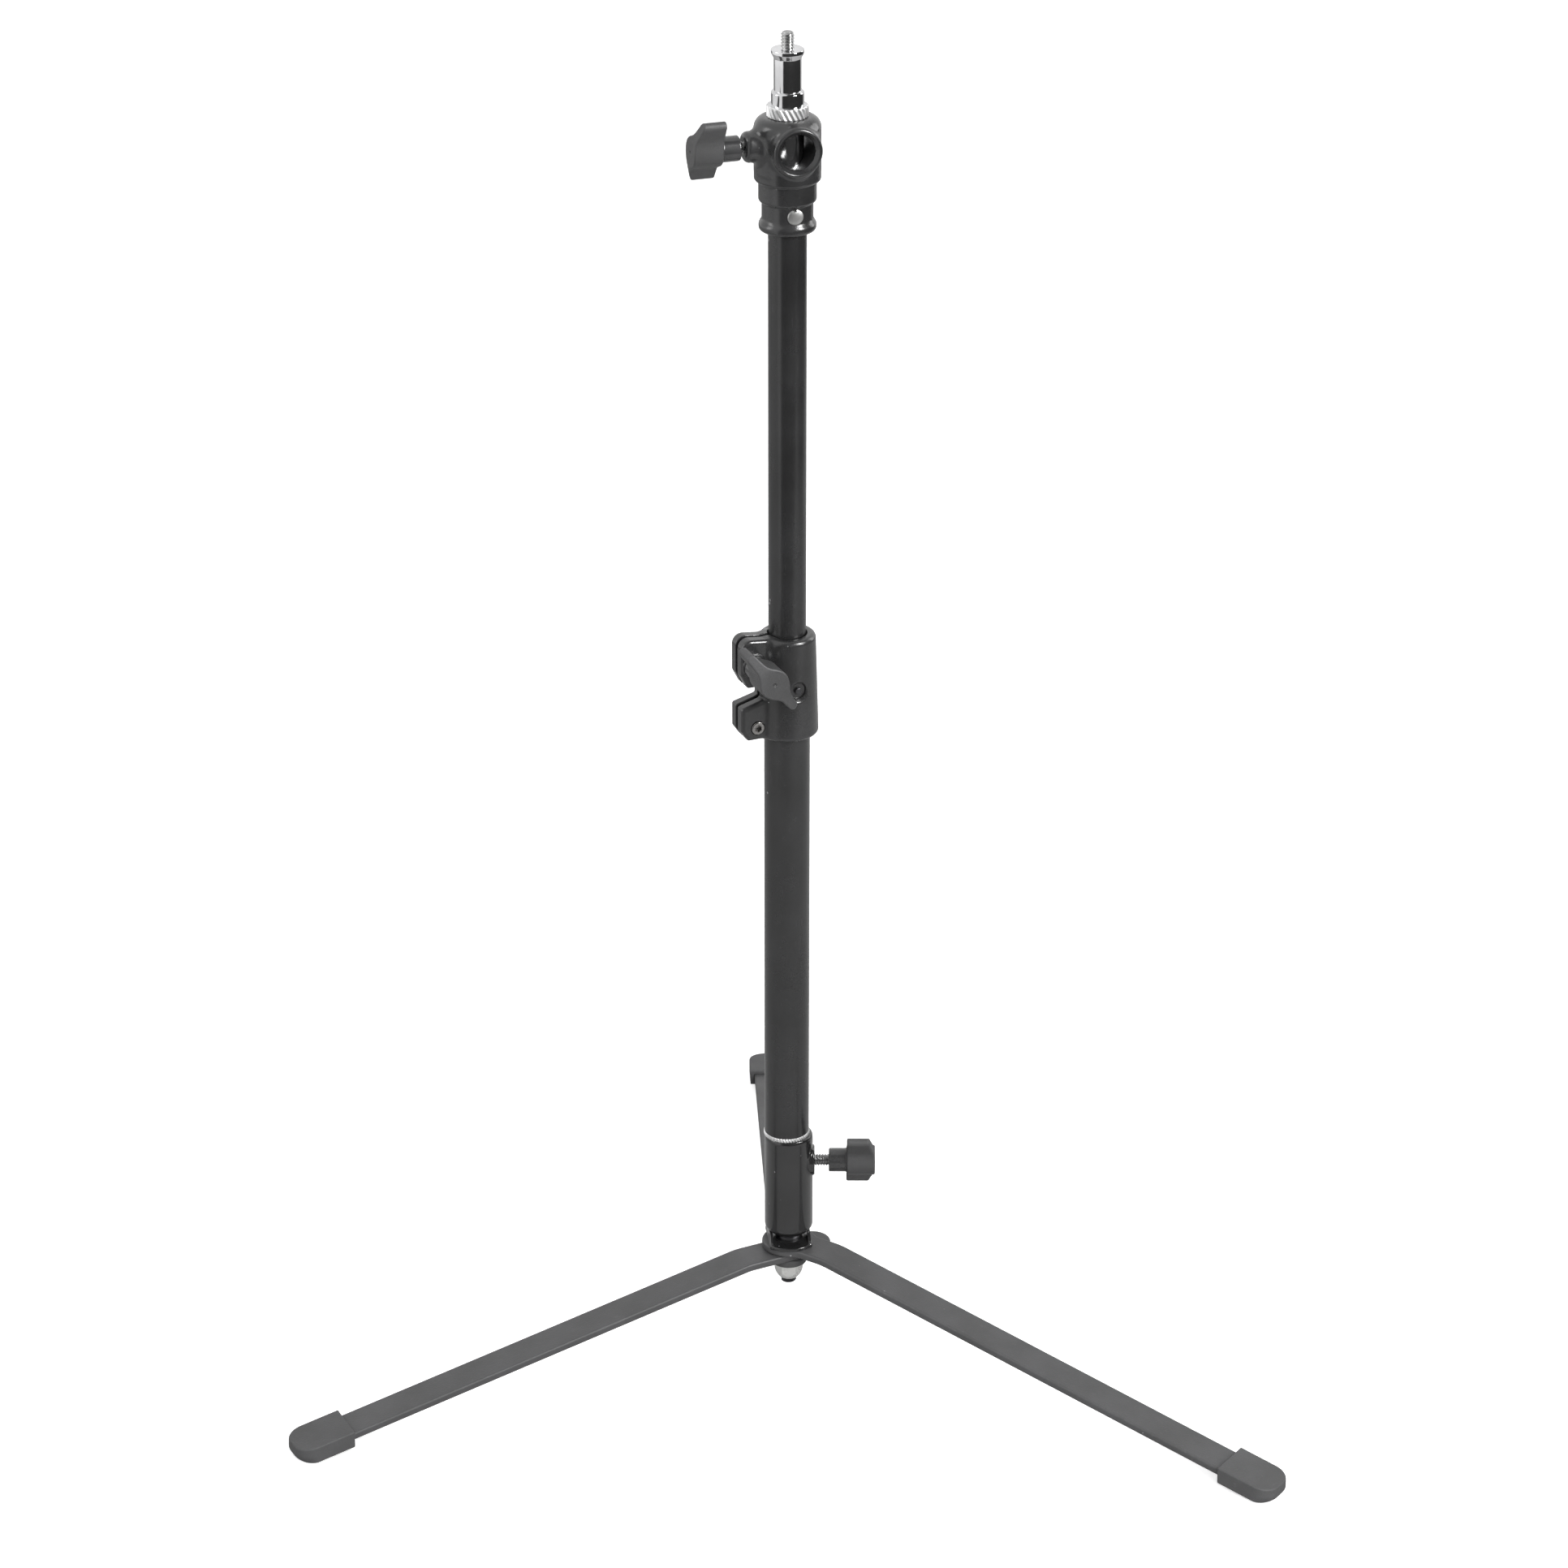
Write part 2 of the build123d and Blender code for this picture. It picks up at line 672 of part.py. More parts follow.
def head_rivet():
    """Cross rivet that holds the head on the upper tube, a domed head at each end."""
    seat = head_low_radius - rivet_seat
    body = rod(rivet_radius, -seat, seat)
    for flip in (0, 180):
        dome = rod(rivet_head_radius, seat, head_low_radius + rivet_proud)
        dome = fillet(dome.edges().sort_by(Axis.Z)[-1], rivet_edge)
        body += Rot(flip, 0, 0) * dome
    skirt = Rot(90, 0, 0) * rod(head_low_radius, -through / 2, through / 2)
    core = rod(rivet_radius, -seat - 1, seat + 1)
    body = body - (skirt - core)
    return Rot(0, 0, head_turn) * sideways(0, 0, rivet_z, (0, -1, 0)) * Rot(0, 0, 90) * body


def spigot():
    """Turned 16 mm stud: plain end in the head, ribbed seat, collar, neck, rim and thread."""
    return turned([
        (0, shaft_bottom),
        (stud_radius - stud_lead, shaft_bottom),
        (stud_radius, shaft_bottom + stud_lead),
        (stud_radius, head_top),
        (knurl_radius, head_top),
        (knurl_radius, knurl_top - knurl_edge),
        (knurl_radius - knurl_edge, knurl_top),
        (stud_radius, knurl_top),
        (stud_radius, collar_top - collar_edge),
        (stud_radius - collar_edge, collar_top),
        (neck_radius, collar_top),
        (neck_radius, cone_bottom),
        (stud_radius, rim_bottom),
        (stud_radius, rim_top - rim_edge),
        (camera_thread_radius, rim_top),
        (camera_thread_radius, stud_top - thread_lead),
        (camera_thread_radius - thread_lead, stud_top),
        (0, stud_top),
    ])


nodes = {
    "leg_washers": leg_washers(),
    "hub_bolt": hub_bolt(),
    "hub_lock_nut": hub_lock_nut(),
    "lock_nut_insert": lock_nut_insert(),
    "hub_washer": hub_washer(),
    "hub_bracket": hub_bracket(),
    "base_socket": base_socket(),
    "socket_boss": socket_boss(),
    "base_knob": base_lock * wing_knob(base_knob_tip, base_knob_lean, screw_radius, knob_screw_depth),
    "base_knob_screw": base_lock * knob_screw(base_knob_tip),
    "base_screw_pad": base_lock * screw_pad(),
    "pole_foot": pole_foot(),
    "tube_plug": tube_plug(),
    "lower_tube": lower_tube(),
    "guide_bush": guide_bush(),
    "clamp_collar": clamp_collar(),
    "bush_pin": bush_pin(),
    "clamp_stud": clamp_stud(),
    "clamp_washer": clamp_washer(),
    "clamp_knob": clamp_knob(),
    "clamp_knob_insert": clamp_knob_insert(),
    "collar_screw": collar_screw(),
    "collar_nut": collar_nut(),
    "glide_bush": glide_bush(),
    "upper_tube": upper_tube(),
    "head_casting": head_casting(),
    "head_rivet": head_rivet(),
    "head_knob": head_lock * wing_knob(head_knob_tip, head_knob_lean, screw_radius, knob_screw_depth),
    "head_knob_screw": head_lock * knob_screw(head_knob_tip),
    "head_screw_pad": head_lock * screw_pad(),
    "spigot": spigot(),
}
for side_name in leg_angles:
    nodes[f"leg_{side_name}"] = leg(side_name)
    nodes[f"foot_{side_name}"] = foot(side_name)

os.makedirs("parts", exist_ok=True)
for node_name, shape in nodes.items():
    solids = shape if isinstance(shape, list) else shape.solids()
    export_step(Compound(children=list(solids)), f"parts/{node_name}.step")
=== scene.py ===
import json
from math import atan2, cos, pi, radians, sin, sqrt, tau

import bpy
import numpy as np
from mathutils import Matrix, Vector


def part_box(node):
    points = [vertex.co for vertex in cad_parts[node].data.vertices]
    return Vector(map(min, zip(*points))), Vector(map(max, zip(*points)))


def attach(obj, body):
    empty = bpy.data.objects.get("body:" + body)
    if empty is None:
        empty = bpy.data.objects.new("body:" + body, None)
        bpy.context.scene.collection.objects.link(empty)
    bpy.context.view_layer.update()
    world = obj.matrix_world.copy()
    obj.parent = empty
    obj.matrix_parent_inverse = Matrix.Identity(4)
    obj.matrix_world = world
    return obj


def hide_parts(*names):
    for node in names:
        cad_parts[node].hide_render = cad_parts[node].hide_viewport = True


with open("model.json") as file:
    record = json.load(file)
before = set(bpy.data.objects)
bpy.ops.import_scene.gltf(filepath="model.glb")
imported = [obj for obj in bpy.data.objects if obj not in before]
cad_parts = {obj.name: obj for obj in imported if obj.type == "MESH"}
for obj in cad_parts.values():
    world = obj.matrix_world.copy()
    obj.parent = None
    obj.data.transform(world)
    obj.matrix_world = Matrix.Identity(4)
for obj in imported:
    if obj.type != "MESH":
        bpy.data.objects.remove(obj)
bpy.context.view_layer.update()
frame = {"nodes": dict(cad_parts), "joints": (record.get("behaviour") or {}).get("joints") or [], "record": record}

MM = 0.001
COARSER = 1.0
RECORD = frame["record"]
BODY_OF = {node: body for body, members in RECORD["behaviour"]["bodies"].items() for node in members}
SLOT_OF = {part["node"]: part["material_slot"] for part in RECORD["subparts"]}
JOINTS = {joint["name"]: joint for joint in frame["joints"]}
THROUGH = 40.0              # millimetres, longer than anything a hole goes through
LOCK_SCREW_HOLE = 3.06      # radius that clears an M6 locking screw
HEX_ACROSS = (cos(radians(30)), sin(radians(30)))


def low_high(node):
    """A CAD node's box corners in millimetres."""
    low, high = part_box(node)
    return np.array(low) / MM, np.array(high) / MM


# ---- distance fields, in millimetres -------------------------------------------------------
# A point set is a tuple of three arrays (x, y, z). Each shape gives the distance to its surface,
# negative inside.

def softly(a, b, blend):
    """Union of two fields with a fillet where they meet."""
    if blend <= 0:
        return np.minimum(a, b)
    near = np.maximum(blend - np.abs(a - b), 0) / blend
    return np.minimum(a, b) - near * near * blend / 4


def cut(a, b, blend=0.0):
    """Field a with field b taken away."""
    return -softly(-a, b, blend)


def common(a, b, blend=0.0):
    """Where both fields are inside."""
    return -softly(-a, -b, blend)


def corner(u, v, edge):
    """Two half-spaces met at a rounded edge."""
    u, v = u + edge, v + edge
    return np.hypot(np.maximum(u, 0), np.maximum(v, 0)) + np.minimum(np.maximum(u, v), 0) - edge


def rod(p, radius, low, high, edge=0.0):
    """Round bar along Z."""
    x, y, z = p
    return corner(np.hypot(x, y) - radius, np.maximum(low - z, z - high), edge)


def along_x(p):
    """The point set seen by a shape whose own Z axis is +X."""
    return p[1], p[2], p[0]


def along_y(p):
    """The point set seen by a shape whose own Z axis is +Y."""
    return p[2], p[0], p[1]


def cone_rod(p, low_radius, high_radius, low, high, edge=0.0):
    """Round bar along Z whose radius changes evenly from low to high."""
    x, y, z = p
    slope = (low_radius - high_radius) / (high - low)
    side = np.hypot(x, y) - low_radius + (z - low) * slope
    return corner(side / sqrt(1 + slope * slope), np.maximum(low - z, z - high), edge)


def polygon(u, v, points):
    """Distance to a closed outline of (u, v) points."""
    distance = np.full(u.shape, 1e9)
    inside = np.zeros(u.shape, bool)
    for (u0, v0), (u1, v1) in zip(points, points[1:] + points[:1]):
        du, dv = u1 - u0, v1 - v0
        t = np.clip(((u - u0) * du + (v - v0) * dv) / (du * du + dv * dv), 0, 1)
        distance = np.minimum(distance, np.hypot(u - u0 - t * du, v - v0 - t * dv))
        if dv != 0:
            crosses = (v0 > v) != (v1 > v)
            inside ^= crosses & (u < u0 + (v - v0) * du / dv)
    return np.where(inside, -distance, distance)


def hexagon(x, y, half_flats):
    """Distance to a hexagon whose half width across its flats is half_flats."""
    c, s = HEX_ACROSS
    slanted = np.maximum(np.abs(x * c + y * s), np.abs(x * c - y * s))
    return np.maximum(np.abs(y), slanted) - half_flats


def slab(value, low, high):
    """Distance to the layer in which value lies between low and high."""
    return np.maximum(low - value, value - high)


def turned(p, angle):
    """The point set seen by a shape turned by angle about Z."""
    x, y, z = p
    c, s = cos(angle), sin(angle)
    return x * c + y * s, -x * s + y * c, z


def moved(p, dx, dy=0.0, dz=0.0):
    """The point set seen by a shape that is moved by (dx, dy, dz)."""
    return p[0] - dx, p[1] - dy, p[2] - dz


def net(field, low, high, step):
    """Closed quad mesh on the zero level of a field: points (n, 3), quads (m, 4) and normals.

    Each grid cell that the surface crosses gets one point, at the mean of the crossings of its
    edges, and each grid edge that the surface crosses gets one quad. Then the points settle onto
    the surface along the field's slope.
    """
    step = step * COARSER
    axes = [np.arange(a - 2 * step, b + 3 * step, step) for a, b in zip(low, high)]
    value = field(tuple(np.meshgrid(*axes, indexing="ij")))
    value = np.where(np.abs(value) < 1e-7, 1e-7, value)
    inside = value < 0
    shape = tuple(n - 1 for n in value.shape)
    total = np.zeros(shape + (3,))
    count = np.zeros(shape)
    offsets = [(i, j, k) for i in (0, 1) for j in (0, 1) for k in (0, 1)]
    for a in offsets:
        for axis in range(3):
            if a[axis]:
                continue
            b = list(a)
            b[axis] = 1
            va = value[tuple(slice(o, o + n) for o, n in zip(a, shape))]
            vb = value[tuple(slice(o, o + n) for o, n in zip(b, shape))]
            crossing = (va < 0) != (vb < 0)
            t = np.where(crossing, va / np.where(crossing, va - vb, 1), 0)
            for d in range(3):
                total[..., d] += np.where(crossing, a[d] + (t if d == axis else 0), 0)
            count += crossing
    active = count > 0
    number = np.full(shape, -1)
    number[active] = np.arange(active.sum())
    cells = np.argwhere(active)
    points = cells + total[active] / count[active][:, None]
    points = points * step + np.array([axis[0] for axis in axes])
    quads = []
    for axis in range(3):
        b, c = (axis + 1) % 3, (axis + 2) % 3
        start = tuple(slice(None, -1) if d == axis else slice(None) for d in range(3))
        end = tuple(slice(1, None) if d == axis else slice(None) for d in range(3))
        found = np.argwhere(inside[start] != inside[end])
        found = found[(found[:, b] > 0) & (found[:, c] > 0)]
        found = found[(found[:, b] < inside.shape[b] - 1) & (found[:, c] < inside.shape[c] - 1)]
        ring = []
        for db, dc in ((0, 0), (1, 0), (1, 1), (0, 1)):
            cell = found.copy()
            cell[:, b] -= db
            cell[:, c] -= dc
            ring.append(number[tuple(cell.T)])
        ring = np.stack(ring, 1)
        leaving = inside[tuple(found.T)]
        quads.append(np.where(leaving[:, None], ring, ring[:, ::-1]))

    def slope_at(at):
        small = 0.02
        parts = []
        for d in range(3):
            shift = np.zeros(3)
            shift[d] = small
            parts.append((field(tuple((at + shift).T)) - field(tuple((at - shift).T))) / (2 * small))
        return np.stack(parts, 1)

    for _ in range(3):
        gradient = slope_at(points)
        size = np.maximum((gradient ** 2).sum(1), 0.2)
        move = gradient * (field(tuple(points.T)) / size)[:, None]
        points = points - np.clip(move, -0.5 * step, 0.5 * step)
    gradient = slope_at(points)
    normals = gradient / np.maximum(np.linalg.norm(gradient, axis=1), 1e-9)[:, None]
    return points, np.concatenate(quads), normals


# ---- turning a mesh into a piece -----------------------------------------------------------

def piece(name, node, points, faces, place=None, normals=None):
    """A new object from points in millimetres that stands for a CAD node and rides on its body."""
    mesh = bpy.data.meshes.new(name)
    mesh.from_pydata((np.asarray(points) * MM).tolist(), [], [list(map(int, face)) for face in faces])
    mesh.validate()
    mesh.shade_smooth()
    if normals is not None and len(normals) == len(mesh.vertices):
        mesh.normals_split_custom_set_from_vertices(normals.tolist())
    if place is not None:
        mesh.transform(place)
    shown = bpy.data.objects.new(name, mesh)
    bpy.context.scene.collection.objects.link(shown)
    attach(shown, BODY_OF[node])
    return shown


def moulded(name, node, field, low, high, step, place=None):
    """A field's surface as a piece that replaces its CAD node."""
    points, faces, normals = net(field, low, high, step)
    shown = piece(name, node, points, faces, place, normals)
    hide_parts(node)
    return shown


def tube_grid(rows, around, closed_ends=True):
    """Faces for rings of points stacked along an axis."""
    faces = []
    for row in range(rows - 1):
        for step in range(around):
            a = row * around + step
            b = row * around + (step + 1) % around
            faces.append((a, b, b + around, a + around))
    if closed_ends:
        faces.append(tuple(reversed(range(around))))
        faces.append(tuple(range((rows - 1) * around, rows * around)))
    return faces


def softened(outline, edge, steps=3):
    """An open (r, z) outline with each inner corner cut to a short arc."""
    result = [outline[0]]
    for before, here, after in zip(outline, outline[1:], outline[2:]):
        before, here, after = (np.array(point, float) for point in (before, here, after))
        reach = min(edge, np.linalg.norm(before - here) / 2.2, np.linalg.norm(after - here) / 2.2)
        back = (before - here) / max(np.linalg.norm(before - here), 1e-6)
        ahead = (after - here) / max(np.linalg.norm(after - here), 1e-6)
        start, end = here + back * reach, here + ahead * reach
        result.append(tuple(start + back * 0.03 * reach))
        for index in range(steps + 1):
            t = index / steps
            result.append(tuple((1 - t) ** 2 * start + 2 * t * (1 - t) * here + t * t * end))
        result.append(tuple(end + ahead * 0.03 * reach))
    result.append(outline[-1])
    return result


def revolved(profile, around):
    """Rings of points about Z, one for each (r, z) of a profile."""
    angles = [tau * step / around for step in range(around)]
    return [(r * cos(a), r * sin(a), z) for r, z in profile for a in angles]


def hollow_turning(name, node, inner, outer, edge, around, place=None):
    """A tube or washer between two radii, as tall as its CAD node, with softened rims."""
    low, high = low_high(node)
    outline = [(inner, low[2]), (outer, low[2]), (outer, high[2]), (inner, high[2])]
    profile = softened(outline + outline[:2], edge)[1:-1]
    faces = tube_grid(len(profile), around, closed_ends=False)
    last = (len(profile) - 1) * around
    for step in range(around):
        after = (step + 1) % around
        faces.append((last + step, last + after, after, step))
    shown = piece(name, node, revolved(profile, around), faces, place)
    shown.data.set_sharp_from_angle(angle=radians(50))
    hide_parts(node)
    return shown


def carved_rod(radius_at, low, high, row_step, around):
    """Points and faces of a rod along Z whose radius is a function of angle and height."""
    rows = max(2, int(round((high - low) / row_step)) + 1)
    points = []
    for row in range(rows):
        z = low + (high - low) * row / (rows - 1)
        for step in range(around):
            angle = tau * step / around
            r = radius_at(angle, z)
            points.append((r * cos(angle), r * sin(angle), z))
    return points, tube_grid(rows, around)


def thread_radius(major, depth, pitch, high, lead):
    """Radius of a right-hand thread that fades out over lead below its top end."""
    def radius_at(angle, z):
        phase = (z / pitch - angle / tau) % 1.0
        ridge = min(1.0, max(0.0, 1.25 - 2.5 * abs(phase - 0.5)))
        fade = min(1.0, max(0.0, (high - z) / lead))
        return major - depth + depth * ridge * fade
    return radius_at


def joined(name, node, parts, place=None, sharp=35):
    """Several closed shells as one piece."""
    points, faces = [], []
    for shell_points, shell_faces in parts:
        start = len(points)
        points.extend(shell_points)
        faces.extend(tuple(start + index for index in face) for face in shell_faces)
    shown = piece(name, node, points, faces, place)
    shown.data.set_sharp_from_angle(angle=radians(sharp))
    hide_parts(node)
    return shown


def shell(outline, around=160, edge=0.2):
    """Points and faces of a solid turned about Z, from an outline that starts and ends on the axis."""
    profile = softened(outline, edge)
    return revolved(profile, around), tube_grid(len(profile), around)


def placed(position, axis, roll=0.0):
    """Matrix, in metres, for a shape drawn in millimetres along +Z that goes along axis."""
    z = Vector(axis).normalized()
    up = Vector((0, 0, 1))
    x = (up - z * up.dot(z)).normalized()
    y = z.cross(x)
    turn = Matrix((x, y, z)).transposed().to_4x4()
    return Matrix.Translation(Vector(position)) @ turn @ Matrix.Rotation(roll, 4, "Z")


# ---- materials -----------------------------------------------------------------------------

class Nodes:
    """A material's node tree with short calls for the nodes this scene uses."""

    def __init__(self, name):
        self.material = bpy.data.materials.new(name)
        self.material.use_nodes = True
        self.tree = self.material.node_tree
        self.shader = self.tree.nodes["Principled BSDF"]
        self.place = self.add("ShaderNodeTexCoord").outputs["Object"]

    def add(self, kind, **values):
        node = self.tree.nodes.new(kind)
        for key, value in values.items():
            if hasattr(node, key):
                setattr(node, key, value)
            else:
                node.inputs[key.replace("_", " ")].default_value = value
        return node

    def link(self, source, target):
        self.tree.links.new(source, target)

    def set(self, **values):
        for key, value in values.items():
            self.shader.inputs[key.replace("_", " ")].default_value = value

    def stretched(self, scale):
        mapping = self.add("ShaderNodeMapping")
        mapping.inputs["Scale"].default_value = scale
        self.link(self.place, mapping.inputs["Vector"])
        return mapping.outputs["Vector"]

    def noise(self, scale, detail=4.0, roughness=0.55, vector=None):
        node = self.add("ShaderNodeTexNoise", Scale=scale, Detail=detail, Roughness=roughness)
        self.link(vector or self.place, node.inputs["Vector"])
        return node.outputs["Fac"]

    def ramp(self, value, low, high, out_low=0.0, out_high=1.0):
        node = self.add("ShaderNodeMapRange", interpolation_type="SMOOTHSTEP")
        limits = {"From Min": low, "From Max": high, "To Min": out_low, "To Max": out_high}
        for key, number in limits.items():
            node.inputs[key].default_value = number
        self.link(value, node.inputs["Value"])
        return node.outputs["Result"]

    def maths(self, operation, a, b):
        node = self.add("ShaderNodeMath", operation=operation)
        for socket, value in zip(node.inputs, (a, b)):
            if isinstance(value, (int, float)):
                socket.default_value = value
            else:
                self.link(value, socket)
        return node.outputs["Value"]

    def mix(self, factor, a, b):
        node = self.add("ShaderNodeMix", data_type="RGBA")
        self.link(factor, node.inputs["Factor"])
        for socket, value in ((node.inputs[6], a), (node.inputs[7], b)):
            if isinstance(value, tuple):
                socket.default_value = (*value, 1.0)
            else:
                self.link(value, socket)
        return node.outputs[2]

    def bump(self, heights, distance):
        """Bump from (height, strength) pairs, chained."""
        normal = None
        for height, strength in heights:
            node = self.add("ShaderNodeBump", Strength=strength, Distance=distance)
            self.link(height, node.inputs["Height"])
            if normal is not None:
                self.link(normal, node.inputs["Normal"])
            normal = node.outputs["Normal"]
        self.link(normal, self.shader.inputs["Normal"])


def grey(value, tint=0.0):
    return (value, value, value * (1 + tint))


def painted(name, base, spread, roughness, grain, grain_strength, coat=0.0, coat_roughness=0.1,
            wear=None, chips=None, streaks=0.0, specular=0.5):
    """Black paint: cloudy colour, uneven gloss, fine skin, worn edges and chips where asked."""
    n = Nodes(name)
    cloud = n.noise(35.0)
    colour = n.mix(n.ramp(cloud, 0.3, 0.7), grey(base - spread, 0.01), grey(base + spread, 0.03))
    dust = n.ramp(n.noise(420.0, 2.0), 0.62, 0.75, 0.0, 0.5)
    colour = n.mix(dust, colour, grey(base + 2.5 * spread, 0.02))
    gloss = n.ramp(n.noise(22.0, 6.0), 0.3, 0.7, roughness - 0.05, roughness + 0.07)
    metal = None
    if streaks:
        scuff = n.noise(60.0, 3.0, vector=n.stretched((7.0, 7.0, 0.6)))
        mask = n.ramp(scuff, 0.64, 0.72, 0.0, streaks)
        colour = n.mix(mask, colour, grey(base + 4 * spread))
        gloss = n.maths("ADD", gloss, n.maths("MULTIPLY", mask, 0.25))
    masks = []
    if wear:
        pointy = n.add("ShaderNodeNewGeometry").outputs["Pointiness"]
        edge = n.ramp(pointy, wear[0], wear[1])
        patchy = n.ramp(n.noise(wear[2], 5.0, 0.65), 0.5, 0.62)
        masks.append(n.maths("MULTIPLY", edge, patchy))
    if chips:
        speck = n.ramp(n.noise(chips[0], 2.0, 0.4), chips[1], chips[1] + 0.02)
        masks.append(speck)
    for mask in masks:
        colour = n.mix(mask, colour, grey(0.42, 0.02))
        gloss = n.maths("ADD", gloss, n.maths("MULTIPLY", mask, 0.12))
        half = n.maths("MULTIPLY", mask, 0.8)
        metal = half if metal is None else n.maths("MAXIMUM", metal, half)
    n.link(colour, n.shader.inputs["Base Color"])
    n.link(gloss, n.shader.inputs["Roughness"])
    if metal is not None:
        n.link(metal, n.shader.inputs["Metallic"])
    n.set(Coat_Weight=coat, Coat_Roughness=coat_roughness, Specular_IOR_Level=specular)
    n.bump([(n.noise(grain, 3.0), grain_strength), (n.noise(grain / 9, 4.0), grain_strength)], 0.0004)
    return n.material


def bare_metal(name, colour, roughness, scratch, brushed=(1.0, 1.0, 1.0), metallic=1.0):
    """Plated or turned metal: faint stain, fine directional scratches, uneven polish."""
    n = Nodes(name)
    stain = n.ramp(n.noise(45.0, 5.0), 0.35, 0.7)
    dark = tuple(0.82 * channel for channel in colour)
    n.link(n.mix(stain, dark, colour), n.shader.inputs["Base Color"])
    lines = n.noise(180.0, 6.0, 0.7, vector=n.stretched(brushed))
    n.link(n.ramp(lines, 0.3, 0.75, roughness, roughness + scratch), n.shader.inputs["Roughness"])
    n.set(Metallic=metallic)
    n.bump([(lines, 0.06)], 0.0001)
    return n.material


MATERIALS = {
    "leg_paint": painted("leg_paint", 0.068, 0.007, 0.4, 1500.0, 0.3, wear=(0.53, 0.58, 55.0),
                         chips=(260.0, 0.785), streaks=0.2, specular=0.3),
    "foot_rubber": painted("foot_rubber", 0.07, 0.007, 0.55, 1100.0, 0.4, streaks=0.3, specular=0.3),
    "socket_enamel": painted("socket_enamel", 0.014, 0.003, 0.14, 500.0, 0.05, coat=0.7,
                             wear=(0.56, 0.62, 90.0), chips=(210.0, 0.74)),
    "tube_black": painted("tube_black", 0.016, 0.003, 0.24, 900.0, 0.06, coat=0.3, coat_roughness=0.18,
                          chips=(170.0, 0.765), streaks=0.2),
    "cast_black": painted("cast_black", 0.02, 0.004, 0.26, 700.0, 0.22, coat=0.45, coat_roughness=0.18,
                          wear=(0.58, 0.66, 120.0)),
    "knob_plastic": painted("knob_plastic", 0.052, 0.005, 0.42, 1900.0, 0.45),
    "knob_neck": painted("knob_neck", 0.03, 0.004, 0.22, 900.0, 0.08, coat=0.5),
    "chrome": bare_metal("chrome", (0.83, 0.83, 0.84), 0.05, 0.1, brushed=(1.0, 1.0, 9.0)),
    "cut_thread": bare_metal("cut_thread", (0.50, 0.50, 0.50), 0.22, 0.12),
    "zinc_steel": bare_metal("zinc_steel", (0.86, 0.86, 0.84), 0.24, 0.15, metallic=0.75),
    "brass": bare_metal("brass", (0.72, 0.55, 0.26), 0.25, 0.15),
    "bush_plastic": painted("bush_plastic", 0.05, 0.006, 0.5, 900.0, 0.2),
    "dark_steel": bare_metal("dark_steel", (0.11, 0.11, 0.115), 0.35, 0.2),
    "dull_steel": bare_metal("dull_steel", (0.62, 0.62, 0.61), 0.4, 0.12),
    "satin_steel": bare_metal("satin_steel", (0.86, 0.86, 0.86), 0.42, 0.15),
    "screw_steel": bare_metal("screw_steel", (0.34, 0.33, 0.32), 0.2, 0.12),
}
# a node here looks different from the rest of its material slot
OWN_MATERIAL = {"bush_pin": "dark_steel"}
for node_name, cad_object in frame["nodes"].items():
    cad_object.data.materials.clear()
    cad_object.data.materials.append(MATERIALS[OWN_MATERIAL.get(node_name, SLOT_OF[node_name])])


def finished(shown, node, material=None):
    """Gives a piece its material: its CAD node's own unless another is named."""
    shown.data.materials.append(material or MATERIALS[SLOT_OF[node]])
    return shown


# ---- stud ----------------------------------------------------------------------------------

def stud():
    """16 mm stud with a 1/4 inch thread, cut a little coarse so that it shows, and a knurled seat."""
    low, high = low_high("spigot")
    top = high[2]
    seat, collar, neck, rim = top - 41.4, top - 35.7, top - 28.7, top - 8.0
    body = shell([(0, low[2]), (7.2, low[2]), (7.98, low[2] + 0.8), (7.98, seat), (9.2, seat),
                  (9.2, collar), (7.98, collar), (7.98, neck - 0.7), (7.3, neck), (6.65, neck + 0.1),
                  (6.65, rim - 4.6), (8.0, rim - 2.1), (8.0, rim - 0.5), (7.6, rim - 0.25), (0, rim)])

    def ribs(angle, z):
        across = (z - (seat + collar) / 2) / (collar - seat) * 2
        wave = 0.5 + 0.5 * cos(24 * angle + 1.3 * z)
        shoulder = sqrt(max(0.0, 1 - max(0.0, (abs(across) - 0.8) / 0.2) ** 2))
        return 9.3 + (0.2 + 0.7 * wave) * shoulder

    knurl = carved_rod(ribs, seat + 0.02, collar - 0.02, 0.2, 384)
    thread = carved_rod(thread_radius(3.175, 0.7, 1.5, top, 0.7), rim - 0.3, top, 0.1, 56)
    shown = finished(joined("lighting_stud", "spigot", [body, knurl, thread], sharp=60), "spigot")
    shown.data.materials.append(MATERIALS["cut_thread"])
    shown.data.materials.append(MATERIALS["satin_steel"])
    for face in shown.data.polygons:
        middle = face.center / MM
        if middle.z > rim + 0.1:
            face.material_index = 1
        elif seat < middle.z < collar and np.hypot(middle.x, middle.y) > 9.25:
            face.material_index = 2
    return shown


# ---- head ----------------------------------------------------------------------------------

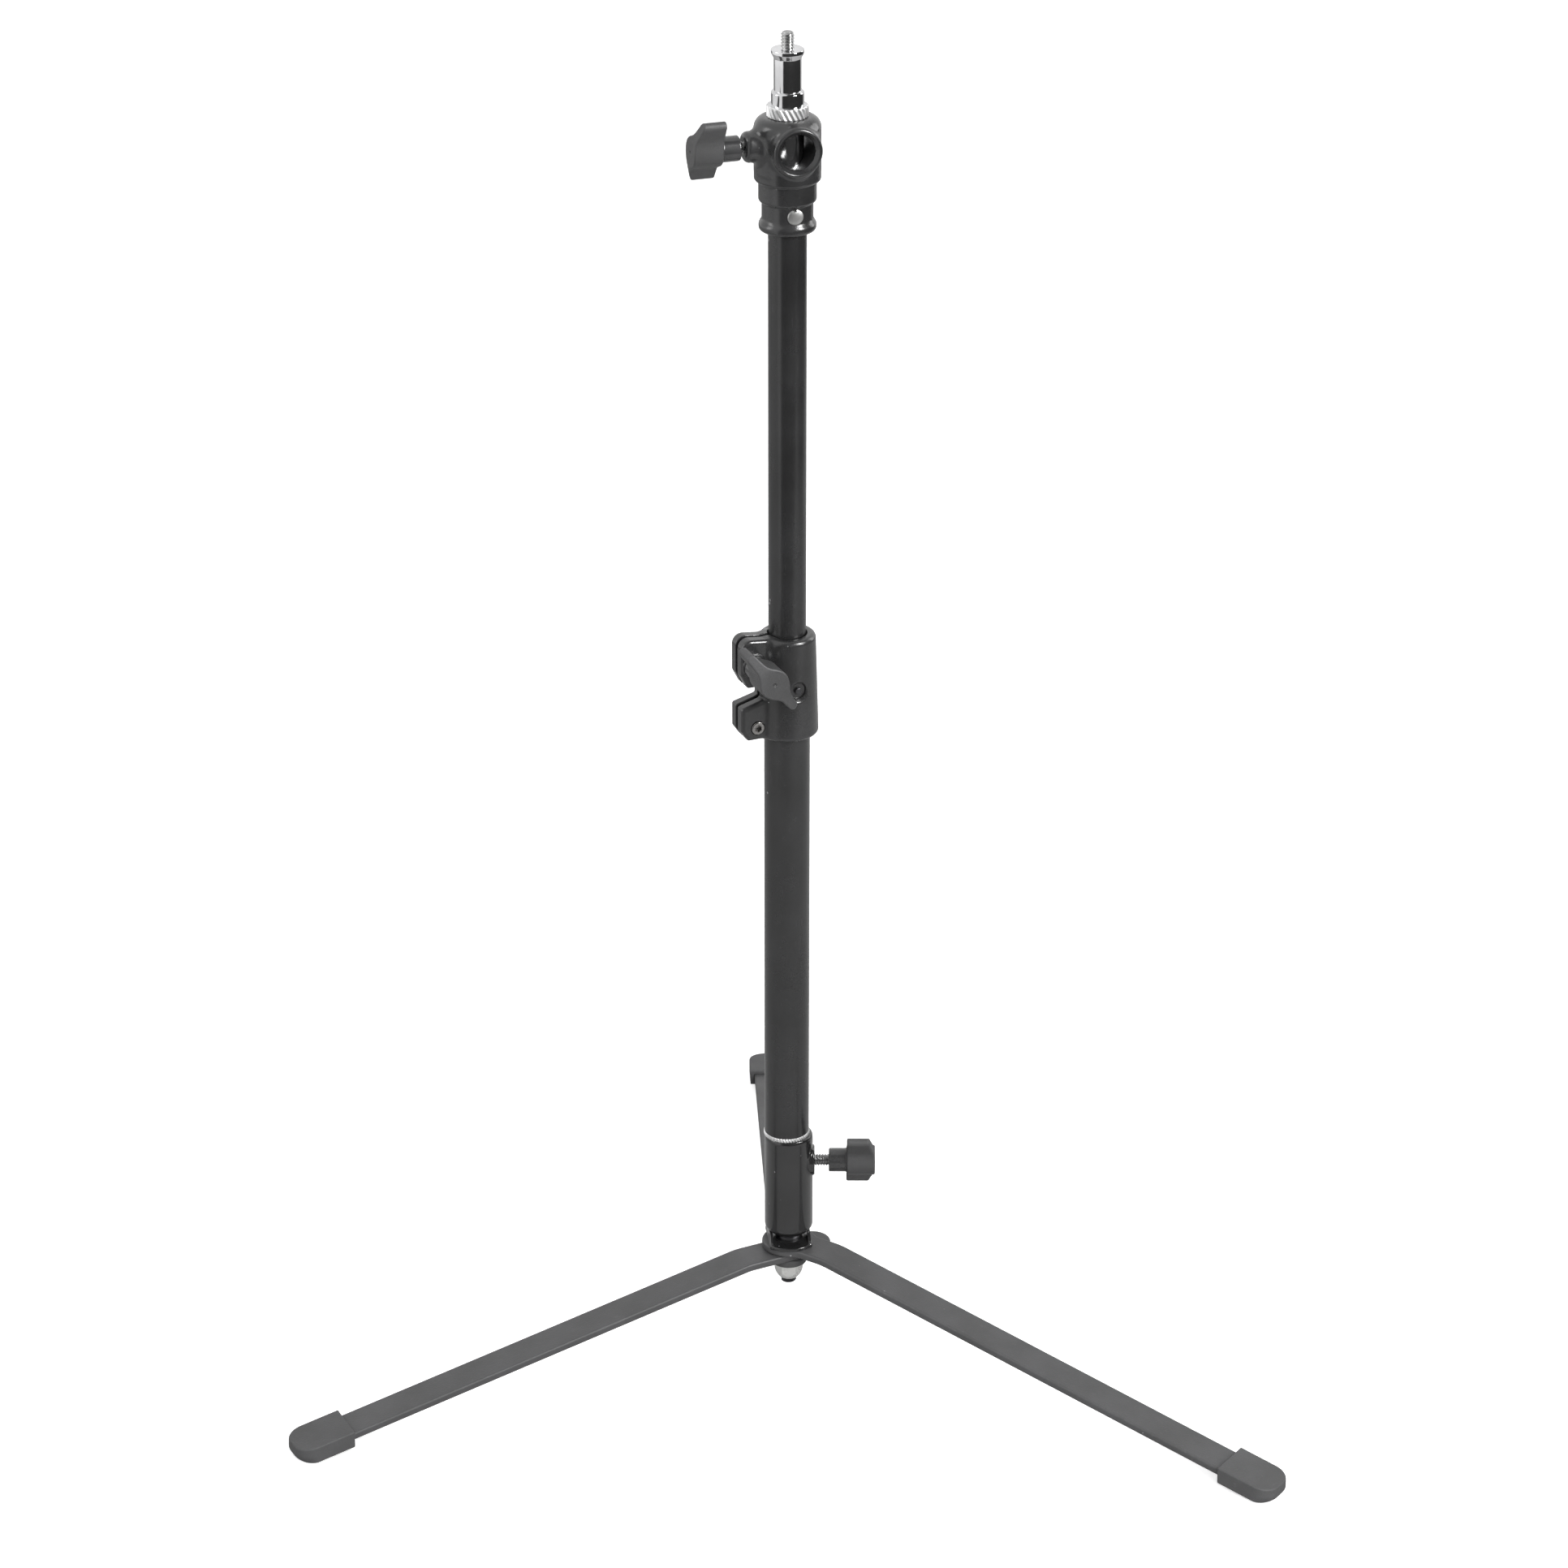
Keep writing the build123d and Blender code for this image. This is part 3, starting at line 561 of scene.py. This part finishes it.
def head():
    """Cast receiver head, drawn with its side boss towards -X and turned into place."""
    low, high = low_high("head_casting")
    joint = JOINTS["stud_knob_turn"]
    cross = joint["pos_m"][2] / MM
    turn = atan2(-joint["axis"][1], -joint["axis"][0])
    foot, top = low[2], high[2]
    mid, body_low = foot + 14.6, foot + 24.9

    def field(p):
        x, y, z = p
        body = rod(p, 16.2, body_low, top, 5.4)
        body = softly(body, rod(p, 16.2, body_low, top - 12, 1.6), 0.3)
        body = softly(body, rod(p, 14.1, mid, body_low + 4, 1.4), 0.7)
        body = softly(body, rod(p, 12.5, foot + 2, mid + 4, 0.6), 0.8)
        body = softly(body, rod(p, 13.9, foot, foot + 4.6, 1.7), 2.2)
        at_cross = moved(p, 0, 0, cross)
        bores = along_y(at_cross)
        body = softly(body, rod(bores, 12.2, -17.4, 17.4, 1.3), 2.6)
        boss = along_x(at_cross)
        body = softly(body, rod(boss, 7.6, -22.4, 0, 2.6), 3.4)
        ring = np.hypot(np.hypot(bores[0], bores[1]) - 10.9, np.abs(bores[2]) - 16.7) - 1.15
        body = softly(body, ring, 0.8)
        flare = np.hypot(bores[0], bores[1]) - 8.75 - np.maximum(np.abs(bores[2]) - 15.9, 0)
        body = cut(body, np.maximum(flare, slab(bores[2], -THROUGH, THROUGH)), 0.35)
        seam = np.maximum(np.abs(x) - 0.25, np.abs(z - (body_low - 3.0)) - 9)
        body = softly(body, np.maximum(seam, np.hypot(x, y) - 14.2), 0.7)
        body = cut(body, rod(p, 8.03, foot + 28.6, top + 5), 0.4)
        body = cut(body, rod(p, 9.46, foot - 5, foot + 19.6), 0.4)
        return cut(body, rod(boss, LOCK_SCREW_HOLE, -THROUGH, 0), 0.5)

    shown = moulded("receiver_head", "head_casting", field, (-24, -19, foot), (18, 19, top), 0.42,
                    Matrix.Rotation(turn, 4, "Z"))
    return finished(shown, "head_casting")


# ---- wing knobs ----------------------------------------------------------------------------

KNOB_NECK = 9.3
KNOB_HEAD = 14.8
WING_REACH = 18.0


def knob_field(neck_length, head_length, hole):
    """Wing knob along +Z: neck, then a two-winged head whose face falls away to the tips."""
    def field(p):
        x, y, z = p
        neck = rod(p, 6.2, 0, neck_length + 3, 0.7)
        reach = np.clip(np.abs(x) / WING_REACH, 0, 1)
        half_width = 4.5 - 2.1 * reach - 0.35 * np.sin(pi * reach)
        wing = np.hypot(np.abs(x) - WING_REACH * reach, y) - half_width
        plan = softly(wing, np.hypot(x, y) - 7.5, 5.0)
        flat_face = z - neck_length - head_length
        tip_face = flat_face + 0.27 * (np.abs(x) - 8.0)
        face = common(flat_face, tip_face / 1.036, 0.8)
        head = corner(plan, np.maximum(neck_length - z, face), 0.8)
        body = softly(neck, head, 0.8)
        dimple = np.sqrt(x * x + y * y + (flat_face - 0.2) ** 2) - 0.9
        body = cut(body, dimple, 0.3)
        return cut(body, rod(p, hole, -5, neck_length + 3.5), 0.3)
    return field


def knob(name, node, joint_name, start, lean):
    """Wing knob on its joint's axis, from start millimetres out, its wings leaning by lean degrees."""
    joint = JOINTS[joint_name]
    axis = Vector(joint["axis"])
    position = Vector(joint["pos_m"]) + axis * start * MM
    field = knob_field(KNOB_NECK, KNOB_HEAD, LOCK_SCREW_HOLE)
    shown = moulded(name, node, field, (-21, -9, 0), (21, 9, 25), 0.36, placed(position, axis, radians(lean)))
    finished(shown, node)
    shown.data.materials.append(MATERIALS["knob_neck"])
    for face in shown.data.polygons:
        if (face.center - position).dot(axis) < (KNOB_NECK - 0.3) * MM:
            face.material_index = 1
    return shown


def screw_thread(name, node, joint_name, start, end):
    """M6 locking screw, its thread drawn coarse, from start to end millimetres out on its axis."""
    joint = JOINTS[joint_name]
    core = carved_rod(thread_radius(3.0, 0.6, 1.4, end, 0.6), start, end, 0.1, 48)
    shown = joined(name, node, [core], placed(joint["pos_m"], joint["axis"]), sharp=60)
    return finished(shown, node, MATERIALS["cut_thread"])


# ---- clamp ---------------------------------------------------------------------------------

BOLT_REACH = 20.6       # from the pole's axis to the bolt in the upper ears
SCREW_REACH = 19.0      # from the pole's axis to the screw in the lower ears


def clamp():
    """Split cast clamp, drawn with its ears towards -X and its front towards -Y."""
    low, high = low_high("clamp_collar")
    bottom, top = low[2], high[2]
    joint = JOINTS["height_knob_turn"]
    turn = atan2(joint["axis"][0], -joint["axis"][1])
    stud_z = joint["pos_m"][2] / MM
    reach, round_off = 26.1, 1.5
    notch, chamfer, ear_corner = 13.6, 2.9, 3.6
    rim = top - 0.8
    outline = [
        (0, bottom + 3.1),
        (chamfer - reach, bottom + 3.1),
        (-reach, bottom + 7.4),
        (-reach, bottom + 18.2),
        (-notch, bottom + 21.6),
        (-notch, bottom + 31.8),
        (chamfer - reach, bottom + 31.8),
        (-reach, bottom + 37.6),
    ]
    for a in np.linspace(0, pi / 2, 7):
        outline.append((ear_corner * (1 - cos(a)) - reach, rim - ear_corner * (1 - sin(a))))
    outline += [(-10.0, rim - round_off), (0, rim - round_off)]

    def field(p):
        x, y, z = p
        sleeve = cone_rod(p, 15.9, 14.3, bottom, top - 0.7, 2.6)
        flare = np.hypot(x, y) - 12.5 - np.sqrt(np.maximum(0, 4.2 * (z - bottom))) * 1.3
        sleeve = common(sleeve, flare, 1.2)
        side = polygon(x, z, outline) - round_off
        half_thickness = 7.15 - 0.35 * np.clip((x + 27) / 27, 0, 1)
        ears = corner(side, np.abs(y) - half_thickness, 1.9)
        body = softly(sleeve, ears, 2.6)
        front = along_y(p)
        bolt = moved(front, stud_z, -BOLT_REACH)
        body = softly(body, rod(bolt, 6.5, -7.6, -3.0, 0.3), 0.5)
        recess = moved(front, bottom + 27.7, 0)
        body = cut(body, cone_rod(recess, 7.7, 4.1, -17.2, -13.6), 0.5)
        body = cut(body, rod(recess, 4.1, -THROUGH, -12.6), 0.3)
        body = cut(body, np.maximum(np.abs(y) - 1.15, x - 2), 0.4)
        body = cut(body, rod(p, 11.57, bottom - 5, top - 3.3), 0.2)
        body = cut(body, rod(p, 9.95, bottom, top + 5), 0.7)
        screw = moved(front, bottom + 8.2, -SCREW_REACH)
        body = cut(body, rod(screw, 3.6, -THROUGH, -4.1), 0.3)
        body = cut(body, rod(screw, 2.05, -THROUGH, THROUGH), 0.1)
        return cut(body, rod(bolt, 3.1, -THROUGH, THROUGH), 0.1)

    shown = moulded("tube_clamp", "clamp_collar", field, (-28, -17, bottom), (17, 17, top), 0.42,
                    Matrix.Rotation(turn, 4, "Z"))
    return finished(shown, "clamp_collar")


# ---- socket and hub ------------------------------------------------------------------------

def socket():
    """Base socket: upright enamelled tube with a low boss on its right for the locking screw."""
    low, high = low_high("base_socket")
    centre = (low[0] + high[0]) / 2
    radius = (high[0] - low[0]) / 2
    lock = JOINTS["socket_knob_turn"]["pos_m"][2] / MM

    def field(p):
        own = moved(p, centre)
        body = rod(own, radius, low[2], high[2], 0.9)
        skirt = np.hypot(own[0], own[1]) - (radius - 2.05) - (own[2] - low[2]) * 0.7
        body = common(body, skirt / 1.22, 0.7)
        crown = np.hypot(own[0], own[1]) - radius + 0.09 * np.maximum(0, own[2] - high[2] + 2.8) ** 2
        body = common(body, crown / 1.05, 0.3)
        boss = along_x(moved(p, 0, 0, lock))
        body = softly(body, rod(boss, 7.8, 0, 14.5, 0.8), 1.6)
        body = cut(body, rod(p, 8.04, low[2] + 9.2, high[2] + 5), 0.5)
        return cut(body, rod(boss, 3.1, 0, THROUGH), 0.5)

    shown = moulded("stand_socket", "base_socket", field, (low[0], low[1], low[2]),
                    (15, high[1], high[2]), 0.45)
    return finished(shown, "base_socket")


def bracket():
    """Plate on the top leg, bent up into an ear on each side of the socket."""
    low, high = low_high("hub_bracket")
    centre = JOINTS["back_leg_fold"]["pos_m"][0] / MM
    floor = low[2]

    metal, half_width, ear_foot, ear_top = 1.8, 10.8, 11.1, 5.5
    ear_outline = [
        (-ear_foot, floor),
        (-ear_foot, floor + metal),
        (-ear_top, high[2]),
        (ear_top, high[2]),
        (ear_foot, floor + metal),
        (ear_foot, floor),
    ]

    def field(p):
        x, y, z = turned(moved(p, centre), radians(7.0))
        plate = corner(np.hypot(x, y) - 15.5, slab(z, floor, floor + metal), 0.5)
        plate = common(plate, np.abs(x) - half_width, 0.6)
        ear = polygon(y, z, ear_outline)
        ears = corner(ear, slab(np.abs(x), half_width - metal, half_width), 0.45)
        body = softly(plate, ears, 1.3)
        return cut(body, rod((x, y, z), 4.02, 0, high[2] + THROUGH), 0.0)

    shown = moulded("hub_plate", "hub_bracket", field, low, high, 0.3)
    return finished(shown, "hub_bracket")


def hub_nut():
    """Hexagon lock nut, narrowing to the round collar that holds its insert."""
    low, high = low_high("hub_lock_nut")
    centre = JOINTS["back_leg_fold"]["pos_m"][0] / MM

    def field(p):
        x, y, z = moved(p, centre)
        body = corner(hexagon(x, y, 6.5), slab(z, low[2], high[2]), 0.15)
        radial = np.hypot(x, y)
        below = np.maximum(low[2] + 5.6 - z, 0)
        body = common(body, radial - 7.5 + 0.085 * below ** 2, 0.2)
        body = common(body, radial - 6.7 - (high[2] - z) * 1.8, 0.2)
        return cut(body, rod((x, y, z), 4.01, 0, high[2] + THROUGH), 0.3)

    return finished(moulded("lock_nut", "hub_lock_nut", field, low, high, 0.26), "hub_lock_nut")


def hub_bolt():
    """Domed bolt that the legs turn about, its threaded end below the nut."""
    low, high = low_high("hub_bolt")
    centre = JOINTS["back_leg_fold"]["pos_m"]
    shift = Matrix.Translation((centre[0], 0, 0))
    top, seat = high[2], high[2] - 3.9
    dome = [(7.0, seat), (7.0, seat + 0.5)]
    dome += [(7.0 * cos(a), seat + 0.5 + 3.4 * sin(a)) for a in np.linspace(0.15, 1.5, 8)]
    head_shell = shell([(0, seat - 1.0), (4.0, seat - 1.0), (4.0, seat), *dome, (0, top)], 96, 0.1)
    radius = 4.0
    run_out = low[2] + 11
    thread = carved_rod(thread_radius(radius, 0.6, 1.25, run_out, 0.1), low[2], run_out, 0.12, 56)
    plain = shell([(0, run_out - 0.1), (radius, run_out - 0.1), (radius, seat - 0.9), (0, seat - 0.9)], 56)
    return finished(joined("hub_bolt_domed", "hub_bolt", [head_shell, plain, thread], shift), "hub_bolt")


def ring_washer(name, node, inner, outer):
    """Flat washer with softened edges."""
    low, high = low_high(node)
    centre = Matrix.Translation(((low[0] + high[0]) / 2 * MM, (low[1] + high[1]) / 2 * MM, 0))
    return finished(hollow_turning(name, node, inner, outer, 0.2, 96, centre), node)


def lock_collar():
    """The pole's foot: plain stud in the socket and the ribbed ring above it."""
    low, high = low_high("pole_foot")
    ring_low = low_high("base_socket")[1][2]
    ring_high = low_high("lower_tube")[0][2]
    body = shell([(0, low[2]), (7.2, low[2]), (7.98, low[2] + 0.8), (7.98, ring_low), (11.0, ring_low),
                  (11.0, ring_high), (5.0, ring_high), (5.0, high[2]), (0, high[2])])

    def ribs(angle, z):
        across = (z - (ring_low + ring_high) / 2) / (ring_high - ring_low) * 2
        crown = sqrt(max(0.0, 1 - max(0.0, (abs(across) - 0.5) / 0.5) ** 2 * 0.6))
        return 11.3 + (0.2 + 0.5 * (0.5 + 0.5 * cos(48 * angle + 2.0 * z))) * crown

    ring = carved_rod(ribs, ring_low + 0.01, ring_high - 0.01, 0.12, 576)
    shown = joined("pole_foot_ring", "pole_foot", [body, ring], sharp=60)
    return finished(shown, "pole_foot", MATERIALS["satin_steel"])


# ---- legs and feet -------------------------------------------------------------------------

# direction from the bolt in degrees, bar behind the bolt, eye radius, bolt to the foot's tip
LEGS = {
    "left": (207.1, 23.5, 0.0, 283.5),
    "right": (-33.9, 9.65, 14.0, 298.0),
    "back": (92.2, 9.65, 0.0, 298.0),
}
LEG_THICKNESS = 4.1
LEG_WIDTH = 19.3
BEND = 27.0
TIP_LINE = 5.9
FOOT_LENGTH = 30.5
BAR_INSET = 6.0


def leg_place(side):
    """Where a leg drawn along +X from the bolt goes."""
    bolt = Vector(JOINTS[f"{side}_leg_fold"]["pos_m"])
    return Matrix.Translation((bolt.x, bolt.y, 0)) @ Matrix.Rotation(radians(LEGS[side][0]), 4, "Z")


def leg(side):
    """Flat bar, level round the bolt, then bent down in a short curve towards its foot."""
    top = low_high(f"leg_{side}")[1][2]
    _, tail, eye, tip = LEGS[side]
    middle = top - LEG_THICKNESS / 2
    slope = (top - TIP_LINE) / (tip - BEND)
    end = tip - BAR_INSET
    curve, past = 3.2, end + 8
    centre = [(-THROUGH, middle)]
    for t in np.linspace(-1, 1, 7):
        centre.append((BEND + curve * t, middle - slope * curve * (t + 1) ** 2 / 4))
    centre.append((past, middle - slope * (past - BEND)))

    def field(p):
        x, y, z = p
        height = np.full(x.shape, 1e9)
        for (x0, z0), (x1, z1) in zip(centre, centre[1:]):
            dx, dz = x1 - x0, z1 - z0
            t = np.clip(((x - x0) * dx + (z - z0) * dz) / (dx * dx + dz * dz), 0, 1)
            height = np.minimum(height, np.hypot(x - x0 - t * dx, z - z0 - t * dz))
        half = LEG_WIDTH / 2
        nearest = np.clip(x, half - tail, end - half)
        square_end = np.maximum(np.abs(y) - half, x - end)
        plan = np.where(x > end - half, square_end, np.hypot(x - nearest, y) - half)
        if eye:
            plan = softly(plan, np.hypot(x, y) - eye, 3.0)
        bar = corner(plan, height - LEG_THICKNESS / 2, 1.1)
        return cut(bar, rod(p, 4.06, 0, top + THROUGH), 0.2)

    width = max(eye, LEG_WIDTH / 2)
    low = (-max(tail, eye), -width, TIP_LINE - 6)
    shown = moulded(f"flat_leg_{side}", f"leg_{side}", field, low, (end, width, top), 0.6, leg_place(side))
    return finished(shown, f"leg_{side}")


def foot(side):
    """Rubber cap on a bar's end: flat top, upright sides, and a nose that slopes down to the tip."""
    top = low_high(f"leg_{side}")[1][2]
    tip = LEGS[side][3]
    slope = (top - TIP_LINE) / (tip - BEND)
    steep = sqrt(1 + slope * slope)
    skew = 0.03 if side == "left" else 0.0
    half, round_off = 12.0, 9.5
    over, under = 2.3, 2.5
    height = over + LEG_THICKNESS + under
    nose_run = 0.4
    nose_lift = 5.0

    def field(p):
        x, y, z = p
        line = (z - TIP_LINE - (tip - x) * slope) / steep
        u = np.abs(y) - half + round_off
        v = x - tip + round_off
        radial = np.hypot(np.maximum(u, 0), np.maximum(v, 0))
        plan = radial + np.minimum(np.maximum(u, v), 0) - round_off
        endwards = np.maximum(v, 0) / np.maximum(radial, 1e-6)
        rise = line + LEG_THICKNESS + under
        plan = plan + nose_run * endwards * np.clip(rise / height, 0, 1.2)
        plan = plan + 0.15 * endwards * np.maximum(nose_lift - rise, 0) ** 2
        plan = np.maximum(plan, tip - FOOT_LENGTH + skew * y - x)
        cap = corner(plan, np.maximum(line - over, -line - LEG_THICKNESS - under), 0.7)
        cap = common(cap, -z, 0.3)
        pocket = np.maximum(np.abs(y) - LEG_WIDTH / 2, slab(line, -LEG_THICKNESS, 0)) - 0.05
        return cut(cap, np.maximum(pocket, x - tip + BAR_INSET - 0.1), 0.15)

    low = (tip - FOOT_LENGTH - 3, -half, -0.2)
    node = f"foot_{side}"
    shown = moulded(f"rubber_{node}", node, field, low, (tip, half, 17), 0.45, leg_place(side))
    return finished(shown, node)


# ---- tubes and small fasteners -------------------------------------------------------------

def plain_tube(name, node, inner):
    """Open tube with softened rims, as wide as its CAD node."""
    low, high = low_high(node)
    outer = (high[0] - low[0]) / 2
    return finished(hollow_turning(name, node, inner, outer, 0.35, 192), node)


def rivet():
    """Rivet through the head, with a round head on each side."""
    low, high = low_high("head_rivet")
    joint = JOINTS["stud_knob_turn"]
    turn = atan2(-joint["axis"][1], -joint["axis"][0])
    front = Vector((sin(turn), -cos(turn), 0))
    z = (low[2] + high[2]) / 2
    dome = [(3.95 * cos(a), 12.6 + 1.05 * sin(a)) for a in np.linspace(0.0, 1.45, 10)]
    half = [(0, -0.1), (2.0, -0.1), (2.0, 11.2), (3.95, 11.2), *dome, (0, 13.65)]
    other = [(r, -height) for r, height in reversed(half)]
    parts = [shell(half, 72, 0.1), shell(other, 72, 0.1)]
    shown = joined("cross_rivet", "head_rivet", parts, placed((0, 0, z * MM), front), 60)
    return finished(shown, "head_rivet", MATERIALS["dull_steel"])


def cap_screw():
    """Socket-headed screw in the clamp's lower ears."""
    low, high = low_high("collar_screw")
    joint = JOINTS["height_knob_turn"]
    axis = Vector(joint["axis"])
    centre = Vector((joint["pos_m"][0], joint["pos_m"][1], 0)) * (SCREW_REACH / BOLT_REACH)
    centre.z = (low[2] + high[2]) / 2 * MM

    def field(p):
        x, y, z = p
        body = rod(p, 3.45, 4.15, 7.75, 0.5)
        body = softly(body, rod(p, 2.0, -7.6, 5, 0.3), 0.2)
        return cut(body, np.maximum(hexagon(x, y, 1.6), 5.6 - z), 0.12)

    shown = moulded("ear_cap_screw", "collar_screw", field, (-4, -4, -8), (4, 4, 8), 0.22,
                    placed(centre, axis))
    return finished(shown, "collar_screw", MATERIALS["screw_steel"])


stud()
head()
knob("head_wing_knob", "head_knob", "stud_knob_turn", 24.6, -35.0)
screw_thread("head_locking_screw", "head_knob_screw", "stud_knob_turn", 9.6, 36.0)
knob("clamp_wing_knob", "clamp_knob", "height_knob_turn", 8.22, 38.0)
knob("socket_wing_knob", "base_knob", "socket_knob_turn", 22.0, 32.5)
screw_thread("socket_locking_screw", "base_knob_screw", "socket_knob_turn", 9.6, 34.0)
clamp()
cap_screw()
socket()
bracket()
hub_nut()
hub_bolt()
ring_washer("nut_washer", "hub_washer", 4.05, 8.5)
lock_collar()
plain_tube("lower_pole_tube", "lower_tube", 10.25)
plain_tube("upper_pole_tube", "upper_tube", 8.2)
rivet()
for leg_side in LEGS:
    leg(leg_side)
    foot(leg_side)


# ---- floor, light and camera ---------------------------------------------------------------

POLE_MIDDLE = (0, 0, 0.4)
KEY_PLACE = (0.94, -1.77, 1.3)


def studio_floor():
    """White paper under the stand; it looks brighter to the camera than to what it lights."""
    mesh = bpy.data.meshes.new("studio_floor")
    left, right, front, back = -1.8, 1.2, -0.8, 6.0
    corners = [(left, front, 0), (right, front, 0), (right, back, 0), (left, back, 0)]
    mesh.from_pydata(corners, [], [(0, 1, 2, 3)])
    floor = bpy.data.objects.new("studio_floor", mesh)
    bpy.context.scene.collection.objects.link(floor)
    n = Nodes("studio_floor")
    seen = n.add("ShaderNodeLightPath").outputs["Is Camera Ray"]
    paper = n.mix(n.noise(3.0), grey(0.90), grey(0.93))
    n.link(n.mix(seen, grey(0.38), paper), n.shader.inputs["Base Color"])
    n.link(n.maths("MULTIPLY", seen, 0.55), n.shader.inputs["Emission Strength"])
    n.set(Roughness=0.9, Emission_Color=(1, 1, 1, 1), Specular_IOR_Level=0.0)
    mesh.materials.append(n.material)


def softbox(name, place, target, width, height, power):
    """Rectangular light at place, turned towards target."""
    light = bpy.data.lights.new(name, "AREA")
    light.shape = "RECTANGLE"
    light.size, light.size_y = width, height
    light.energy = power
    lamp = bpy.data.objects.new(name, light)
    bpy.context.scene.collection.objects.link(lamp)
    lamp.location = place
    lamp.rotation_euler = (Vector(target) - Vector(place)).to_track_quat("-Z", "Y").to_euler()
    return lamp


def studio_world():
    """White walls to the left and behind, a dark room to the front and right; white to the camera."""
    world = bpy.data.worlds.new("studio")
    world.use_nodes = True
    bpy.context.scene.world = world
    tree = world.node_tree
    background = tree.nodes["Background"]
    place = tree.nodes.new("ShaderNodeTexCoord")
    towards = tree.nodes.new("ShaderNodeVectorMath")
    towards.operation = "DOT_PRODUCT"
    towards.inputs[1].default_value = (0.766, -0.643, -0.1)
    tree.links.new(place.outputs["Generated"], towards.inputs[0])
    ramp = tree.nodes.new("ShaderNodeMapRange")
    limits = {"From Min": 0.02, "From Max": 0.12, "To Min": 0.9, "To Max": 0.035}
    for name, number in limits.items():
        ramp.inputs[name].default_value = number
    tree.links.new(towards.outputs["Value"], ramp.inputs["Value"])
    path = tree.nodes.new("ShaderNodeLightPath")
    pick = tree.nodes.new("ShaderNodeMath")
    pick.operation = "MAXIMUM"
    tree.links.new(ramp.outputs["Result"], pick.inputs[0])
    tree.links.new(path.outputs["Is Camera Ray"], pick.inputs[1])
    tree.links.new(pick.outputs["Value"], background.inputs["Strength"])
    background.inputs["Color"].default_value = (1, 1, 1, 1)


def studio_camera():
    """Long lens, a little above the stand, looking down on it."""
    data = bpy.data.cameras.new("studio_camera")
    data.lens = 119.7
    data.sensor_width = 36.0
    data.clip_end = 50.0
    camera = bpy.data.objects.new("studio_camera", data)
    bpy.context.scene.collection.objects.link(camera)
    camera.location = (0.0023, -2.3908, 1.4227)
    camera.rotation_euler = (radians(90 - 24.80), radians(-0.03), radians(0.105))
    bpy.context.scene.camera = camera


studio_floor()
studio_world()
key = softbox("key_softbox", KEY_PLACE, POLE_MIDDLE, 1.78, 2.2, 85)
key.visible_glossy = False
sheen = softbox("sheen_softbox", KEY_PLACE, POLE_MIDDLE, 1.78, 2.2, 44)
sheen.visible_diffuse = False
softbox("left_softbox", (-1.7, -0.3, 1.1), POLE_MIDDLE, 0.6, 1.4, 8)
softbox("right_softbox", (1.5, 0.9, 1.0), POLE_MIDDLE, 0.6, 1.4, 8)
glint = softbox("glint_softbox", (1.45, -0.85, 1.55), (0, 0, 0.2), 0.5, 1.0, 50)
glint.visible_diffuse = False
studio_camera()
bpy.context.scene.view_settings.view_transform = "Standard"
